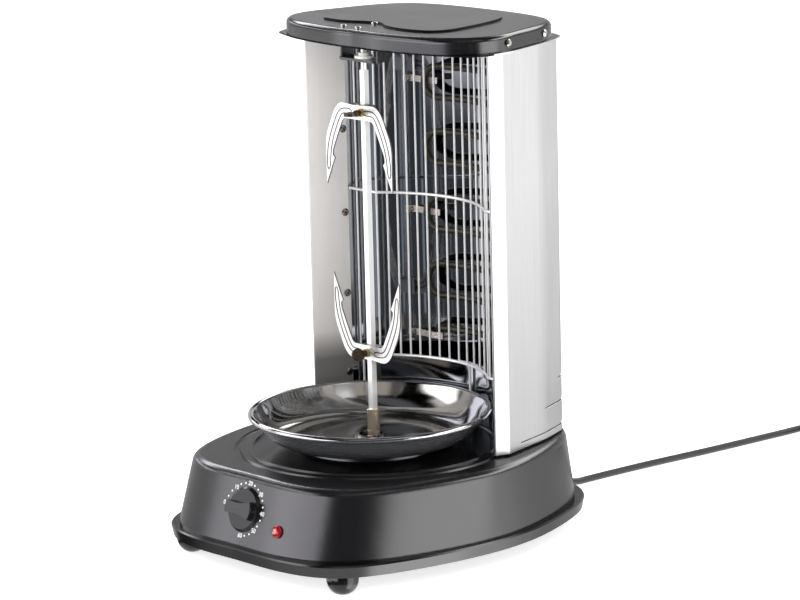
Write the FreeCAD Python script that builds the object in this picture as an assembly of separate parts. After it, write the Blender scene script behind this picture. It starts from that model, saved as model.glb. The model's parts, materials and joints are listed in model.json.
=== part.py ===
import FreeCAD, Part
import math
import os
from FreeCAD import Vector as V

os.makedirs("parts", exist_ok=True)

# Tabletop vertical rotisserie grill.  Millimetres, +Z up, front towards -Y.
# Plan positions are worked out from the spindle axis and moved by YS when a
# piece is written, so the origin is the bottom centre of the machine's box.

# ---------------------------------------------------------------- dimensions
YS = -9.45             # spindle axis, from the origin along Y
Z_TRAY0 = 18.2         # underside of the base tray
Z_TRAY1 = 29.5         # top of the tray's outer rim
Z_COVER0 = 32.2        # lower edge of the base cover
Z_DECK = 92.1          # flat top of the base cover
COVER_INSET = 19.5     # how far the cover's front wall leans in over its height
SIDE_INSET, REAR_INSET = 5.0, 9.0
COVER_T = 2.5          # cover wall
COVER_R = 7.5          # rounding between wall and deck
FOOT_R = 14.6          # ball foot
PAN_R = 112.9          # outer radius of the pan's rolled rim
PAN_Z = 126.6          # top of the pan's rim
PAN_Y = -3.9           # pan centre, from the spindle axis
PAN_T = 0.8            # pan sheet
SHEET = 1.0            # tower sheet
Z_TOWER1 = 462.0       # top of the tower's walls
Z_FLANGE1 = 463.5      # top of the tower's top plate
Z_SKIRT0 = 464.0       # lower edge of the lid's skirt
Z_LID1 = 478.4         # flat top of the lid
LID_PANEL = 1.6        # height of the raised panel on the lid
LID_T = 1.2
BAR = 6.2              # square skewer bar, across the flats
HUB_R = 5.9
Z_HUB1 = 125.5
Z_BAR0 = 119.6         # lower end of the bar, in the hub's socket
Z_BAR1 = 441.0         # shoulder under the bar's round top pin
REFL_R = 122.0         # reflector arc
REFL_CY = 28.0
REFL_T = 0.6
GUARD_R = 112.0        # wire guard arc
GUARD_CY = -4.8
WIRE_R = 1.0
RING_R = 1.35
Z_RING_LOW = 151.4
Z_RING_MID = 308.0
Z_RING_TOP = 458.5
ELEM_R = 131.0         # arc of the heating element's legs
ELEM_TUBE = 3.4
ELEM_X = 35.0          # half length of a leg
ELEM_Z = [425.5, 396.0, 363.5, 333.5, 300.5, 270.0, 237.0, 206.5, 174.5]
DIAL_Z = 62.7          # height of the dial's centre on the front wall
LAMP_X, LAMP_Z = 47.5, 51.4
KNOB_R0, KNOB_R1, KNOB_H = 20.6, 17.0, 9.6
KNOB_FLOOR = 3.0       # height of the low base either side of the grip
CORD_D = 6.6
FORK_T = 1.5
FORK_Y = -5.5          # middle of the fork's front plate
UP_FORK_Z, UP_FORK_X, UP_SCREW_X = 409.6, -3.6, 0.9
LO_FORK_Z, LO_FORK_X, LO_SCREW_X = 172.4, 1.8, 0.6

WALL_TILT = math.atan2(COVER_INSET, Z_DECK - Z_COVER0)

# Right half of the base cover's lower edge, front to rear.
BASE = [(0.0, -170.3), (23.0, -170.7), (46.0, -170.4), (68.7, -167.1), (90.3, -159.2),
        (108.8, -145.7), (122.5, -127.3), (132.4, -106.6), (140.0, -84.9), (145.9, -62.6),
        (150.5, -40.1), (153.7, -17.3), (155.4, 5.6), (154.6, 28.6), (151.2, 51.4),
        (145.4, 73.6), (138.0, 95.4), (129.3, 116.7), (119.0, 137.2), (105.6, 155.9),
        (88.5, 171.2), (68.2, 181.8), (45.9, 187.5), (23.0, 189.5), (0.0, 189.7)]
# Right half of the lid's outline, front to rear.
LID = [(0.0, -12.7), (15.2, -13.3), (30.4, -13.1), (45.6, -11.6), (60.7, -9.6),
       (75.7, -7.1), (90.5, -3.4), (104.5, 2.6), (116.7, 11.6), (125.7, 23.8),
       (130.0, 38.4), (130.1, 53.6), (126.9, 68.5), (123.2, 83.3), (119.8, 98.1),
       (115.6, 112.7), (109.6, 126.8), (101.1, 139.4), (89.5, 149.1), (75.5, 155.1),
       (60.7, 158.8), (45.7, 161.0), (30.5, 162.2), (15.2, 162.7), (0.0, 162.8)]
# Right tower wall in plan: inner flange, front fold, side, rear corner, rear flange.
TOWER = [(110.4, 77.6), (120.3, 34.2), (126.4, 50.6), (112.8, 112.0), (99.5, 148.6),
         (84.0, 158.0), (66.0, 158.0)]
TOWER_RAD = [0, 1.2, 4.0, 110.0, 15.0, 8.0, 0]


# ------------------------------------------------------------------- helpers
def write(name, *solids):
    shape = solids[0] if len(solids) == 1 else Part.makeCompound(list(solids))
    shape = shape.copy()
    shape.translate(V(0, YS, 0))
    shape.exportStep("parts/%s.step" % name)
    bad = [s for s in shape.Solids if not s.isValid() or s.Volume <= 0]
    b = shape.optimalBoundingBox()
    print("%-22s solids %2d vol %9.0f  x %7.1f %7.1f  y %7.1f %7.1f  z %7.1f %7.1f %s" % (
        name, len(shape.Solids), shape.Volume, b.XMin, b.XMax, b.YMin, b.YMax, b.ZMin, b.ZMax,
        "BAD" if bad or not shape.Solids else ""))


def full(half):
    return list(half) + [(-x, y) for x, y in reversed(half[1:-1])]


def grown(points, d):
    """A closed counter-clockwise outline moved outwards by d."""
    n, out = len(points), []
    for i in range(n):
        ax, ay = points[i - 1]
        bx, by = points[(i + 1) % n]
        tx, ty = bx - ax, by - ay
        l = math.hypot(tx, ty)
        out.append((points[i][0] + ty / l * d, points[i][1] - tx / l * d))
    return out


def ring(points, z):
    c = Part.BSplineCurve()
    c.interpolate(Points=[V(x, y, z) for x, y in points], PeriodicFlag=True)
    return Part.Wire([c.toShape()])


def slab(points, z0, z1):
    return Part.Face(ring(points, z0)).extrude(V(0, 0, z1 - z0))


def normals(points):
    n, out = len(points), []
    for i in range(n):
        (ax, ay), (bx, by) = points[i - 1], points[(i + 1) % n]
        l = math.hypot(bx - ax, by - ay)
        out.append(((by - ay) / l, -(bx - ax) / l))
    return out


def lean(points):
    """How far the cover's wall leans in at each point: most in front, least at the sides."""
    return [SIDE_INSET + (COVER_INSET - SIDE_INSET) * max(0.0, -ny) + (REAR_INSET - SIDE_INSET) * max(0.0, ny)
            for nx, ny in normals(points)]


def square(points, side, front, rear):
    """Growth of the tray's rim at each point: a little more at the four corners."""
    return [side + (front if ny < 0 else rear) * (2 * nx * ny) ** 2 for nx, ny in normals(points)]


def moved_out(points, ds):
    return [(x + nx * d, y + ny * d) for (x, y), (nx, ny), d in zip(points, normals(points), ds)]


def drafted(points, d0, z0, d1, z1):
    return Part.makeLoft([ring(moved_out(points, d0), z0), ring(moved_out(points, d1), z1)], True, False)


def cyl(r, z0, z1, x=0.0, y=0.0):
    return Part.makeCylinder(r, z1 - z0, V(x, y, z0))


def rod(r, a, b):
    d = b.sub(a)
    return Part.makeCylinder(r, d.Length, a, d)


def box(x0, x1, y0, y1, z0, z1):
    return Part.makeBox(x1 - x0, y1 - y0, z1 - z0, V(x0, y0, z0))


def mirror(s):
    return s.mirror(V(0, 0, 0), V(1, 0, 0))


def turned(profile, axis_x=0.0, axis_y=0.0):
    """Revolve (r, z) points, joined by lines, about a vertical axis."""
    pts = [V(axis_x + r, axis_y, z) for r, z in profile]
    f = Part.Face(Part.makePolygon(pts + pts[:1]))
    return f.revolve(V(axis_x, axis_y, 0), V(0, 0, 1), 360)


def rounded(points, radii):
    """Lines through the points with tangent arcs at the inner ones."""
    n, edges, last = len(points), [], V(points[0][0], points[0][1], 0)
    for i in range(1, n - 1):
        p = V(points[i][0], points[i][1], 0)
        a = V(points[i - 1][0], points[i - 1][1], 0).sub(p)
        b = V(points[i + 1][0], points[i + 1][1], 0).sub(p)
        a.normalize()
        b.normalize()
        r = radii[i]
        ang = a.getAngle(b)
        if r <= 0.05 or ang > math.pi - 1e-4:
            edges.append(Part.makeLine(last, p))
            last = p
            continue
        t = r / math.tan(ang / 2)
        s, e = p.add(V(a).multiply(t)), p.add(V(b).multiply(t))
        m = V(a).add(b)
        m.normalize()
        mid = p.add(m.multiply(r / math.sin(ang / 2) - r))
        if s.sub(last).Length > 1e-6:
            edges.append(Part.makeLine(last, s))
        edges.append(Part.Arc(s, mid, e).toShape())
        last = e
    end = V(points[-1][0], points[-1][1], 0)
    edges.append(Part.makeLine(last, end))
    return edges


def beside(points, t):
    """The open polyline moved to its left by t."""
    n, lines, out = len(points), [], []
    for i in range(n - 1):
        (ax, ay), (bx, by) = points[i], points[i + 1]
        l = math.hypot(bx - ax, by - ay)
        nx, ny = -(by - ay) / l * t, (bx - ax) / l * t
        lines.append((ax + nx, ay + ny, bx - ax, by - ay))
    out.append((lines[0][0], lines[0][1]))
    for i in range(1, n - 1):
        ax, ay, dx, dy = lines[i - 1]
        bx, by, ex, ey = lines[i]
        det = dx * ey - dy * ex
        k = ((bx - ax) * ey - (by - ay) * ex) / det
        out.append((ax + dx * k, ay + dy * k))
    x, y, dx, dy = lines[-1]
    out.append((x + dx, y + dy))
    return out


def sheet(points, radii, t, z0, z1, shift=0.0):
    """Bent sheet metal: the path, thickened to its left by t, from z0 to z1."""
    def moved(d):
        if abs(d) < 1e-9:
            return list(points), list(radii)
        q, r = beside(points, d), list(radii)
        for i in range(1, len(points) - 1):
            (ax, ay), (bx, by), (cx, cy) = points[i - 1], points[i], points[i + 1]
            turn = (bx - ax) * (cy - by) - (by - ay) * (cx - bx)
            r[i] = max(0.0, r[i] - d * (1 if turn > 0 else -1)) if r[i] else 0
        return q, r
    p, rp = moved(shift)
    q, rq = moved(shift + t)
    first, second = rounded(p, rp), rounded(q, rq)
    edges = first + [Part.makeLine(V(p[-1][0], p[-1][1], 0), V(q[-1][0], q[-1][1], 0))]
    edges += second + [Part.makeLine(V(q[0][0], q[0][1], 0), V(p[0][0], p[0][1], 0))]
    w = Part.Wire(Part.__sortEdges__(edges))
    f = Part.Face(w)
    f.translate(V(0, 0, z0))
    return f.extrude(V(0, 0, z1 - z0))


def sector(cx, cy, r, t, half, z0, z1):
    """Arc of sheet about (cx, cy) from -half to +half degrees off +Y, outwards by t."""
    def at(rr, deg):
        a = math.radians(deg)
        return V(cx + rr * math.sin(a), cy + rr * math.cos(a), z0)
    e = [Part.Arc(at(r, -half), at(r, 0), at(r, half)).toShape(),
         Part.makeLine(at(r, half), at(r + t, half)),
         Part.Arc(at(r + t, half), at(r + t, 0), at(r + t, -half)).toShape(),
         Part.makeLine(at(r + t, -half), at(r, -half))]
    return Part.Face(Part.Wire(e)).extrude(V(0, 0, z1 - z0))


def tube(edges, r, start, direction):
    """A round bar along a path of lines and arcs."""
    c = Part.Wire([Part.makeCircle(r, start, direction)])
    return Part.Wire(edges).makePipeShell([c], True, True)


def on_wall(x, z, height=0.0):
    """A point on the sloping front wall, raised along its normal."""
    y0 = -170.45 + COVER_INSET * (z - Z_COVER0) / (Z_DECK - Z_COVER0)
    return V(x, y0 - height * math.cos(WALL_TILT), z + height * math.sin(WALL_TILT))


NORMAL = V(0, -math.cos(WALL_TILT), math.sin(WALL_TILT))
PLATE_UP = V(0, math.sin(WALL_TILT), math.cos(WALL_TILT))


def pan_head(r, h, at, direction):
    """A pan-head screw: head outside, a cross recess, shank inwards."""
    d = V(direction)
    d.normalize()
    head = Part.makeCylinder(r, h * 0.45, at, d)
    dome = Part.makeCone(r, r * 0.62, h * 0.55, at.add(V(d).multiply(h * 0.45)), d)
    return head.fuse(dome)


base, lid = full(BASE), full(LID)

# ---------------------------------------------------------------- base cover
LEAN = lean(base)
outer = drafted(base, [0.0] * len(base), Z_COVER0, [-k for k in LEAN], Z_DECK)
top_edges = [e for e in outer.Edges if abs(e.BoundBox.ZMin - Z_DECK) < 0.01]
outer = outer.makeFillet(COVER_R, top_edges)
z_in0, z_in1 = Z_COVER0 - 1.0, Z_DECK - COVER_T
inner = drafted(base, [-COVER_T - k * (z_in0 - Z_COVER0) / (Z_DECK - Z_COVER0) for k in LEAN], z_in0,
                [-COVER_T - k * (z_in1 - Z_COVER0) / (Z_DECK - Z_COVER0) for k in LEAN], z_in1)
inner = inner.makeFillet(COVER_R - 2.6, [e for e in inner.Edges if abs(e.BoundBox.ZMin - z_in1) < 0.01])
cover = outer.cut(inner)
# shallow ring groove and the raised bead inside it, round the pan
cover = cover.cut(turned([(123.0, Z_DECK + 1), (129.6, Z_DECK + 1), (128.2, Z_DECK - 1.6), (124.4, Z_DECK - 1.6)]))
cover = cover.fuse(turned([(110.8, Z_DECK - 0.4), (116.4, Z_DECK - 0.4), (115.4, Z_DECK + 1.8), (111.8, Z_DECK + 1.8)]))
# pressed seat that carries the pan
cover = cover.fuse(turned([(52.0, Z_DECK - 0.4), (64.5, Z_DECK - 0.4), (62.5, 98.9), (54.0, 98.9)], 0, PAN_Y))
# bosses that take the tray's screws
BOSSES = [(82.0, -98.0), (-82.0, -98.0), (98.0, 108.0), (-98.0, 108.0)]
for x, y in BOSSES:
    cover = cover.fuse(cyl(4.6, 21.75, Z_DECK - COVER_T + 0.6, x, y))
    cover = cover.cut(cyl(1.55, 21.0, 46.0, x, y))
# bush, harness, dial, lamp and cord openings
cover = cover.cut(cyl(8.0, 85.0, 96.0))
cover = cover.cut(box(-88, -62, 118, 132, 85, 96))
cover = cover.cut(Part.makeCylinder(4.6, 30, on_wall(0, DIAL_Z, -15), NORMAL))
cover = cover.cut(Part.makeCylinder(5.05, 30, on_wall(LAMP_X, LAMP_Z, -15), NORMAL))
CORD_X, CORD_Z = 6.0, 44.0
CORD_DOWN = math.radians(35.0)
CORD_DIR = V(0, math.cos(CORD_DOWN), -math.sin(CORD_DOWN))
GLAND_Y = 185.9
cover = cover.cut(Part.makeCylinder(6.1, 24, V(CORD_X, GLAND_Y, CORD_Z).sub(V(CORD_DIR).multiply(12)), CORD_DIR))

# ----------------------------------------------------------------- base tray
RIM = square(base, 4.1, 4.0, 5.0)
tray = drafted(base, [k - 2.0 for k in RIM], Z_TRAY0, RIM, Z_TRAY1 - 1.6)
tray = tray.fuse(drafted(base, RIM, Z_TRAY1 - 1.6, [k - 0.9 for k in RIM], Z_TRAY1))
tray = tray.fuse(slab(grown(base, -0.9), Z_TRAY0 + 0.5, Z_COVER0))
tray = tray.cut(slab(grown(base, -4.4), 21.7, 40.0))
SCREW_AT = BOSSES
for x, y in BOSSES:
    tray = tray.cut(cyl(1.9, 15, 25, x, y)).cut(cyl(3.6, Z_TRAY0 - 1, Z_TRAY0 + 1.0, x, y))
FEET = [(102.0, -137.0), (-102.0, -137.0), (84.0, 147.0), (-84.0, 147.0)]
for x, y in FEET:
    tray = tray.cut(cyl(2.1, 15, 25, x, y))
# louvre slots for air under the motor
for i in range(5):
    tray = tray.cut(box(-30, 30, 60 + 9 * i, 64 + 9 * i, 15, 25))
write("base_tray", tray)

cs = []
for x, y in BOSSES:
    cs.append(cyl(1.5, Z_TRAY0 + 1.0, 38.0, x, y).fuse(cyl(3.4, Z_TRAY0 - 0.6, Z_TRAY0 + 1.0, x, y)))
write("tray_screws", *cs)

feet, fscrews = [], []
for x, y in FEET:
    ball = Part.makeSphere(FOOT_R, V(x, y, FOOT_R - 1.4))
    ball = ball.common(box(x - 20, x + 20, y - 20, y + 20, 0.0, Z_TRAY0))
    ball = ball.cut(cyl(2.1, -1, 25, x, y)).cut(cyl(4.6, -1, 8.0, x, y))
    feet.append(ball)
    fscrews.append(cyl(1.95, 8.0, 27.0, x, y).fuse(cyl(4.3, 5.2, 8.0, x, y)).cut(box(x - 3, x + 3, y - 0.5, y + 0.5, 5, 6.2)))
write("rubber_feet", *feet)
write("foot_screws", *fscrews)

# ----------------------------------------------------------- turning the meat
GEAR_Z0, GEAR_Z1 = 58.0, 76.0
gear_case = cyl(24.5, GEAR_Z0, GEAR_Z1).fuse(cyl(8.0, GEAR_Z1, 81.0))
gear_case = gear_case.cut(cyl(4.1, 66.0, 90.0))
write("gearbox", gear_case)
can = cyl(24.0, 42.0, GEAR_Z0).fuse(box(-10, 10, -34, -20, 44, 56))
can = can.cut(cyl(2.2, 41, 43))
write("motor_can", can)
bracket = box(-44, 44, -12, 12, GEAR_Z1, 77.6).cut(cyl(8.2, 70, 82))
for s in (-1, 1):
    leg = box(s * 44 - (1.6 if s > 0 else 0), s * 44 + (0 if s > 0 else 1.6), -12, 12, 77.6, 89.6)
    foot = box(min(s * 44, s * 56), max(s * 44, s * 56), -12, 12, 88.0, 89.5)
    bracket = bracket.fuse(leg.common(box(-50, 50, -12, 12, 77.6, 89.5))).fuse(foot)
for x, y in ((-51, -6), (51, -6), (-51, 6), (51, 6)):
    bracket = bracket.cut(cyl(1.6, 80, 95, x, y))
for x, y in ((-17, 0), (17, 0)):
    bracket = bracket.cut(cyl(1.6, 70, 80, x, y))
write("motor_bracket", bracket)
ms = []
for x, y in ((-51, -6), (51, -6), (-51, 6), (51, 6)):
    ms.append(cyl(1.5, 84.8, 89.5, x, y).fuse(cyl(2.8, 84.8, 87.9, x, y)))
for x, y in ((-17, 0), (17, 0)):
    ms.append(cyl(2.8, 77.6, 79.6, x, y))
write("motor_screws", *ms)
bush = cyl(7.9, 84.0, Z_DECK).fuse(cyl(10.0, Z_DECK, 94.2)).cut(cyl(4.05, 80, 100))
write("shaft_bush", bush)
hub = cyl(4.0, 66.6, 94.35).fuse(cyl(HUB_R, 94.35, Z_HUB1))
hub = hub.cut(box(-BAR / 2 - 0.06, BAR / 2 + 0.06, -BAR / 2 - 0.06, BAR / 2 + 0.06, Z_BAR0 - 0.1, Z_HUB1 + 1))
hub = hub.cut(turned([(4.5, Z_HUB1 + 0.01), (7, Z_HUB1 + 0.01), (7, Z_HUB1 - 0.7), (HUB_R, Z_HUB1 - 0.7), (HUB_R - 0.7, Z_HUB1)]))
write("drive_hub", hub)

# -------------------------------------------------------------------- skewer
c = 0.5
bar = box(-BAR / 2, BAR / 2, -BAR / 2, BAR / 2, Z_BAR0, Z_BAR1)
bar = bar.makeChamfer(c, [e for e in bar.Edges if abs(e.Vertexes[0].Z - e.Vertexes[1].Z) > 10])
bar = bar.fuse(cyl(2.75, Z_BAR1, 463.0)).fuse(Part.makeCone(2.75, 1.6, 1.5, V(0, 0, 463.0)))
write("skewer_bar", bar)

OUT = [(0, 0), (18, 0), (23.6, 0.9), (27.9, 3.9), (32.4, 10.0), (36.5, 18.8), (40.6, 27.8), (42.9, 36.0), (43.5, 45.0)]
TIP = (43.4, 77.2)
IN = [(41.2, 72.0), (38.2, 65.5), (35.0, 58.2), (32.2, 52.4)]
IN2 = [(34.6, 50.0), (33.9, 44.5), (30.6, 37.0), (26.5, 28.2), (22.8, 20.6), (19.8, 15.6), (16.6, 14.0), (0, 14.0)]


def curve(points):
    b = Part.BSplineCurve()
    b.interpolate(Points=[V(x, 0, z) for x, z in points])
    return b.toShape()


def line(a, b):
    return Part.makeLine(V(a[0], 0, a[1]), V(b[0], 0, b[1]))


def fork(x0, z0, flip, screw_x):
    """Forked plate with a loop behind it for the bar; h counts from the bridge's edge."""
    right = [curve(OUT), line(OUT[-1], TIP), curve([TIP] + IN), line(IN[-1], IN2[0]), curve(IN2[:5] + IN2[5:7]), line(IN2[6], IN2[7])]
    m = FreeCAD.Matrix()
    m.A11 = -1
    left = [e.transformGeometry(m) for e in right]
    f = Part.Face(Part.Wire(Part.__sortEdges__(right + left)))
    plate = f.extrude(V(0, FORK_T, 0))
    plate.translate(V(0, FORK_Y - FORK_T / 2, 0))
    yf = FORK_Y + FORK_T / 2
    loop = box(-12.5, 12.5, yf, BAR / 2 + 0.2 + FORK_T, 0.6, 13.4).cut(box(-11, 11, yf - 1, BAR / 2 + 0.2, -1, 20))
    s = plate.fuse(loop).removeSplitter()
    if flip:
        s = s.mirror(V(0, 0, 0), V(0, 0, 1))
    s.translate(V(x0, 0, z0))
    zc = z0 + (-7.0 if flip else 7.0)
    s = s.cut(Part.makeCylinder(2.5, 6, V(screw_x, FORK_Y - 3, zc), V(0, 1, 0)))
    return s, zc


def thumbscrew(x, zc, paddle_y, roll):
    """Threaded pin pressing on the bar, a flat oval paddle at its outer end."""
    y0 = -BAR / 2 - 0.1
    pin = Part.makeCylinder(2.4, y0 - paddle_y + 2, V(x, paddle_y - 2, zc), V(0, 1, 0))
    neck = Part.makeCylinder(3.1, 2.2, V(x, paddle_y - 1.2, zc), V(0, 1, 0))
    e = Part.Ellipse(V(0, 0, 0), 7.0, 6.0)
    p = Part.Face(Part.Wire([e.toShape()])).extrude(V(0, 0, 2.4))
    p.translate(V(0, 0, -1.2))
    # ribs on both faces
    for i in range(-2, 3):
        w = 5.4 * math.sqrt(max(0.05, 1 - (i * 2.0 / 6.2) ** 2))
        r = Part.makeBox(2 * w, 0.7, 3.2, V(-w, i * 2.0 - 0.35, -1.6))
        p = p.fuse(r)
    p.rotate(V(0, 0, 0), V(0, 0, 1), 90)
    p.translate(V(0, -6.6, 0))
    p.rotate(V(0, 0, 0), V(0, 1, 0), roll)
    p.translate(V(x, paddle_y, zc))
    return pin.fuse(neck).fuse(p).removeSplitter()


def collar(x, zc):
    y0 = FORK_Y - FORK_T / 2
    s = Part.makeCylinder(4.0, 3.2, V(x, y0 - 3.2, zc), V(0, 1, 0))
    return s.cut(Part.makeCylinder(2.45, 6, V(x, y0 - 5, zc), V(0, 1, 0)))


s, zc = fork(UP_FORK_X, UP_FORK_Z, True, UP_SCREW_X)
write("upper_fork", s)
write("upper_collar", collar(UP_SCREW_X, zc))
write("upper_thumbscrew", thumbscrew(UP_SCREW_X, zc, -12.0, 0))
s, zc = fork(LO_FORK_X, LO_FORK_Z, False, LO_SCREW_X)
write("lower_fork", s)
write("lower_collar", collar(LO_SCREW_X, zc))
write("lower_thumbscrew", thumbscrew(LO_SCREW_X, zc, -10.8, 60))

# ------------------------------------------------------------------ drip pan
def pan_curve(pts):
    b = Part.BSplineCurve()
    b.interpolate(Points=[V(r, 0, z) for r, z in pts])
    return b.toShape()


IN_W = [(76.0, 99.8), (84.0, 100.7), (90.5, 103.4), (96.0, 108.0), (101.0, 114.0), (105.0, 120.6), (107.2, 124.6)]
OUT_W = [(76.0, 99.0), (84.4, 99.9), (91.1, 102.8), (96.7, 107.5), (101.7, 113.5), (105.7, 120.1), (108.0, 123.9)]
rim_in = [(107.2, 124.6), (108.4, 126.1), (110.0, 126.6), (111.9, 125.9), (112.9, 124.3), (112.6, 122.6), (111.6, 121.8)]
rim_out = [(108.0, 123.9), (109.0, 125.2), (110.1, 125.7), (111.3, 125.2), (112.1, 124.1), (111.9, 123.0), (111.6, 122.6)]
e = [pan_curve(IN_W), pan_curve(rim_in), Part.makeLine(V(111.6, 0, 121.8), V(111.6, 0, 122.6)),
     pan_curve(list(reversed(rim_out))), pan_curve(list(reversed(OUT_W))),
     Part.makeLine(V(76, 0, 99.0), V(11.8, 0, 99.0)), Part.makeLine(V(11.8, 0, 99.0), V(11.0, 0, 99.0)),
     Part.makeLine(V(11.0, 0, 99.0), V(11.0, 0, 103.0)), Part.makeLine(V(11.0, 0, 103.0), V(11.8, 0, 103.0)),
     Part.makeLine(V(11.8, 0, 103.0), V(11.8, 0, 99.8)), Part.makeLine(V(11.8, 0, 99.8), V(76, 0, 99.8))]
pan = Part.Face(Part.Wire(Part.__sortEdges__(e))).revolve(V(0, 0, 0), V(0, 0, 1), 360)
pan.translate(V(0, PAN_Y, 0))
write("drip_pan", pan)

# ------------------------------------------------------------ timer and lamp
knob = Part.makeCone(17.9, KNOB_R1, KNOB_H - KNOB_FLOOR, on_wall(0, DIAL_Z, KNOB_FLOOR), NORMAL)
knob = knob.makeFillet(1.1, [ed for ed in knob.Edges if ed.Curve.TypeId == "Part::GeomCircle" and abs(ed.Curve.Radius - KNOB_R1) < 0.01])
# two open scoops leave a raised grip, narrow on the left and flared on the right
for s in (-1, 1):
    p0 = on_wall(0, DIAL_Z, KNOB_FLOOR)
    pts = [(-30, 6.6), (-17, 5.7), (-9, 5.1), (-1, 4.9), (6, 5.6), (12, 7.2), (17, 9.0), (30, 13.0)]
    b = Part.BSplineCurve()
    b.interpolate(Points=[p0.add(V(a, 0, 0)).add(V(PLATE_UP).multiply(s * h)) for a, h in pts])
    q1 = p0.add(V(30, 0, 0)).add(V(PLATE_UP).multiply(s * 30))
    q2 = p0.add(V(-30, 0, 0)).add(V(PLATE_UP).multiply(s * 30))
    a0 = p0.add(V(-30, 0, 0)).add(V(PLATE_UP).multiply(s * 6.6))
    a1 = p0.add(V(30, 0, 0)).add(V(PLATE_UP).multiply(s * 13.0))
    w = Part.Wire([b.toShape(), Part.makeLine(a1, q1), Part.makeLine(q1, q2), Part.makeLine(q2, a0)])
    knob = knob.cut(Part.Face(w).extrude(V(NORMAL).multiply(12)))
skirt = Part.makeCone(KNOB_R0, 18.3, KNOB_FLOOR - 0.5, on_wall(0, DIAL_Z, 0.5), NORMAL)
skirt = skirt.makeFillet(0.5, [ed for ed in skirt.Edges if ed.Curve.TypeId == "Part::GeomCircle" and abs(ed.Curve.Radius - 18.3) < 0.01])
knob = knob.fuse(skirt)
knob = knob.cut(Part.makeCylinder(3.05, 4.0, on_wall(0, DIAL_Z, 0.4), NORMAL))
write("timer_knob", knob)
shaft = Part.makeCylinder(3.0, 15.9, on_wall(0, DIAL_Z, -11.5), NORMAL)
write("timer_shaft", shaft)
tb = Part.makeBox(36, 30, 20, V(-18, -15, 0))
pl = FreeCAD.Placement(on_wall(0, DIAL_Z, -27.5), FreeCAD.Rotation(V(1, 0, 0), PLATE_UP, NORMAL, "ZXY"))
tb.Placement = pl
tb = tb.fuse(Part.makeCylinder(4.4, 6.4, on_wall(0, DIAL_Z, -7.5), NORMAL))
tb = tb.cut(Part.makeCylinder(3.1, 16, on_wall(0, DIAL_Z, -12), NORMAL))
write("timer_body", tb)
lens = Part.makeCylinder(5.9, 1.2, on_wall(LAMP_X, LAMP_Z, 0.25), NORMAL)
dome = Part.makeSphere(8.2, on_wall(LAMP_X, LAMP_Z, 0.25 + 1.2 - 5.75)).common(
    Part.makeCylinder(5.8, 6, on_wall(LAMP_X, LAMP_Z, 1.45), NORMAL))
lens = lens.fuse(dome)
write("lamp_lens", lens)
lh = Part.makeCylinder(4.9, 22.2, on_wall(LAMP_X, LAMP_Z, -21.95), NORMAL)
nut = Part.makeCylinder(7.5, 3, on_wall(LAMP_X, LAMP_Z, -6.6), NORMAL)
write("lamp_body", lh.fuse(nut))

# --------------------------------------------------------- supply in the base
block = box(-70, -30, 84, 100, 30, 44)
for i in range(4):
    block = block.cut(cyl(2.2, 38, 50, -65 + 10 * i, 92))
write("terminal_block", block)
write("terminal_screws", *[cyl(2.1, 38.0, 41.5, -65 + 10 * i, 92) for i in range(4)])

g0 = V(CORD_X, GLAND_Y, CORD_Z)
d = CORD_DIR
flat = Part.makeCylinder(8.2, 4.0, g0.add(V(d).multiply(0.8)), d)
neck = Part.makeCylinder(6.0, 12.0, g0.sub(V(d).multiply(9)), d)
taper = Part.makeCone(6.6, 4.6, 22.0, g0.add(V(d).multiply(4.8)), d)
rear = Part.makeCylinder(8.0, 3.0, g0.sub(V(d).multiply(11.5)), d)
gland = flat.fuse(taper).cut(outer).fuse(neck).fuse(rear.common(inner)).removeSplitter()
gland = gland.cut(Part.makeCylinder(CORD_D / 2, 60, g0.sub(V(d).multiply(20)), d))
write("cord_gland", gland)

# lead inside the base, from the gland to the terminal block
END = g0.add(V(d).multiply(26.8))


def routed(points, r, label):
    """Straight runs joined by tangent arcs; returns the tube and its length."""
    edges, last, length = [], V(*points[0]), 0.0
    radii = []
    n = len(points)
    for i in range(1, n - 1):
        p, a, b = V(*points[i]), V(*points[i - 1]), V(*points[i + 1])
        u, w = a.sub(p), b.sub(p)
        short = min(u.Length, w.Length)
        u.normalize()
        w.normalize()
        ang = u.getAngle(w)
        half = (math.pi - ang) / 2
        rad = 0.45 * short / math.tan(half)
        radii.append(round(rad, 1))
        t = 0.45 * short
        s, e2 = p.add(V(u).multiply(t)), p.add(V(w).multiply(t))
        m = V(u).add(w)
        m.normalize()
        mid = p.add(m.multiply(rad / math.cos(half) - rad))
        edges.append(Part.makeLine(last, s))
        length += s.sub(last).Length
        edges.append(Part.Arc(s, mid, e2).toShape())
        length += rad * 2 * half
        last = e2
    end = V(*points[-1])
    edges.append(Part.makeLine(last, end))
    length += end.sub(last).Length
    d0 = V(*points[1]).sub(V(*points[0]))
    t = tube(edges, r, V(*points[0]), d0)
    if not t.isValid() or t.Volume < 0:
        t = t.reversed()
    print(label, "length %.1f" % length, "volume / (section x length) %.4f" % (t.Volume / (math.pi * r * r * length)), "radii", radii)
    return t, length


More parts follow.
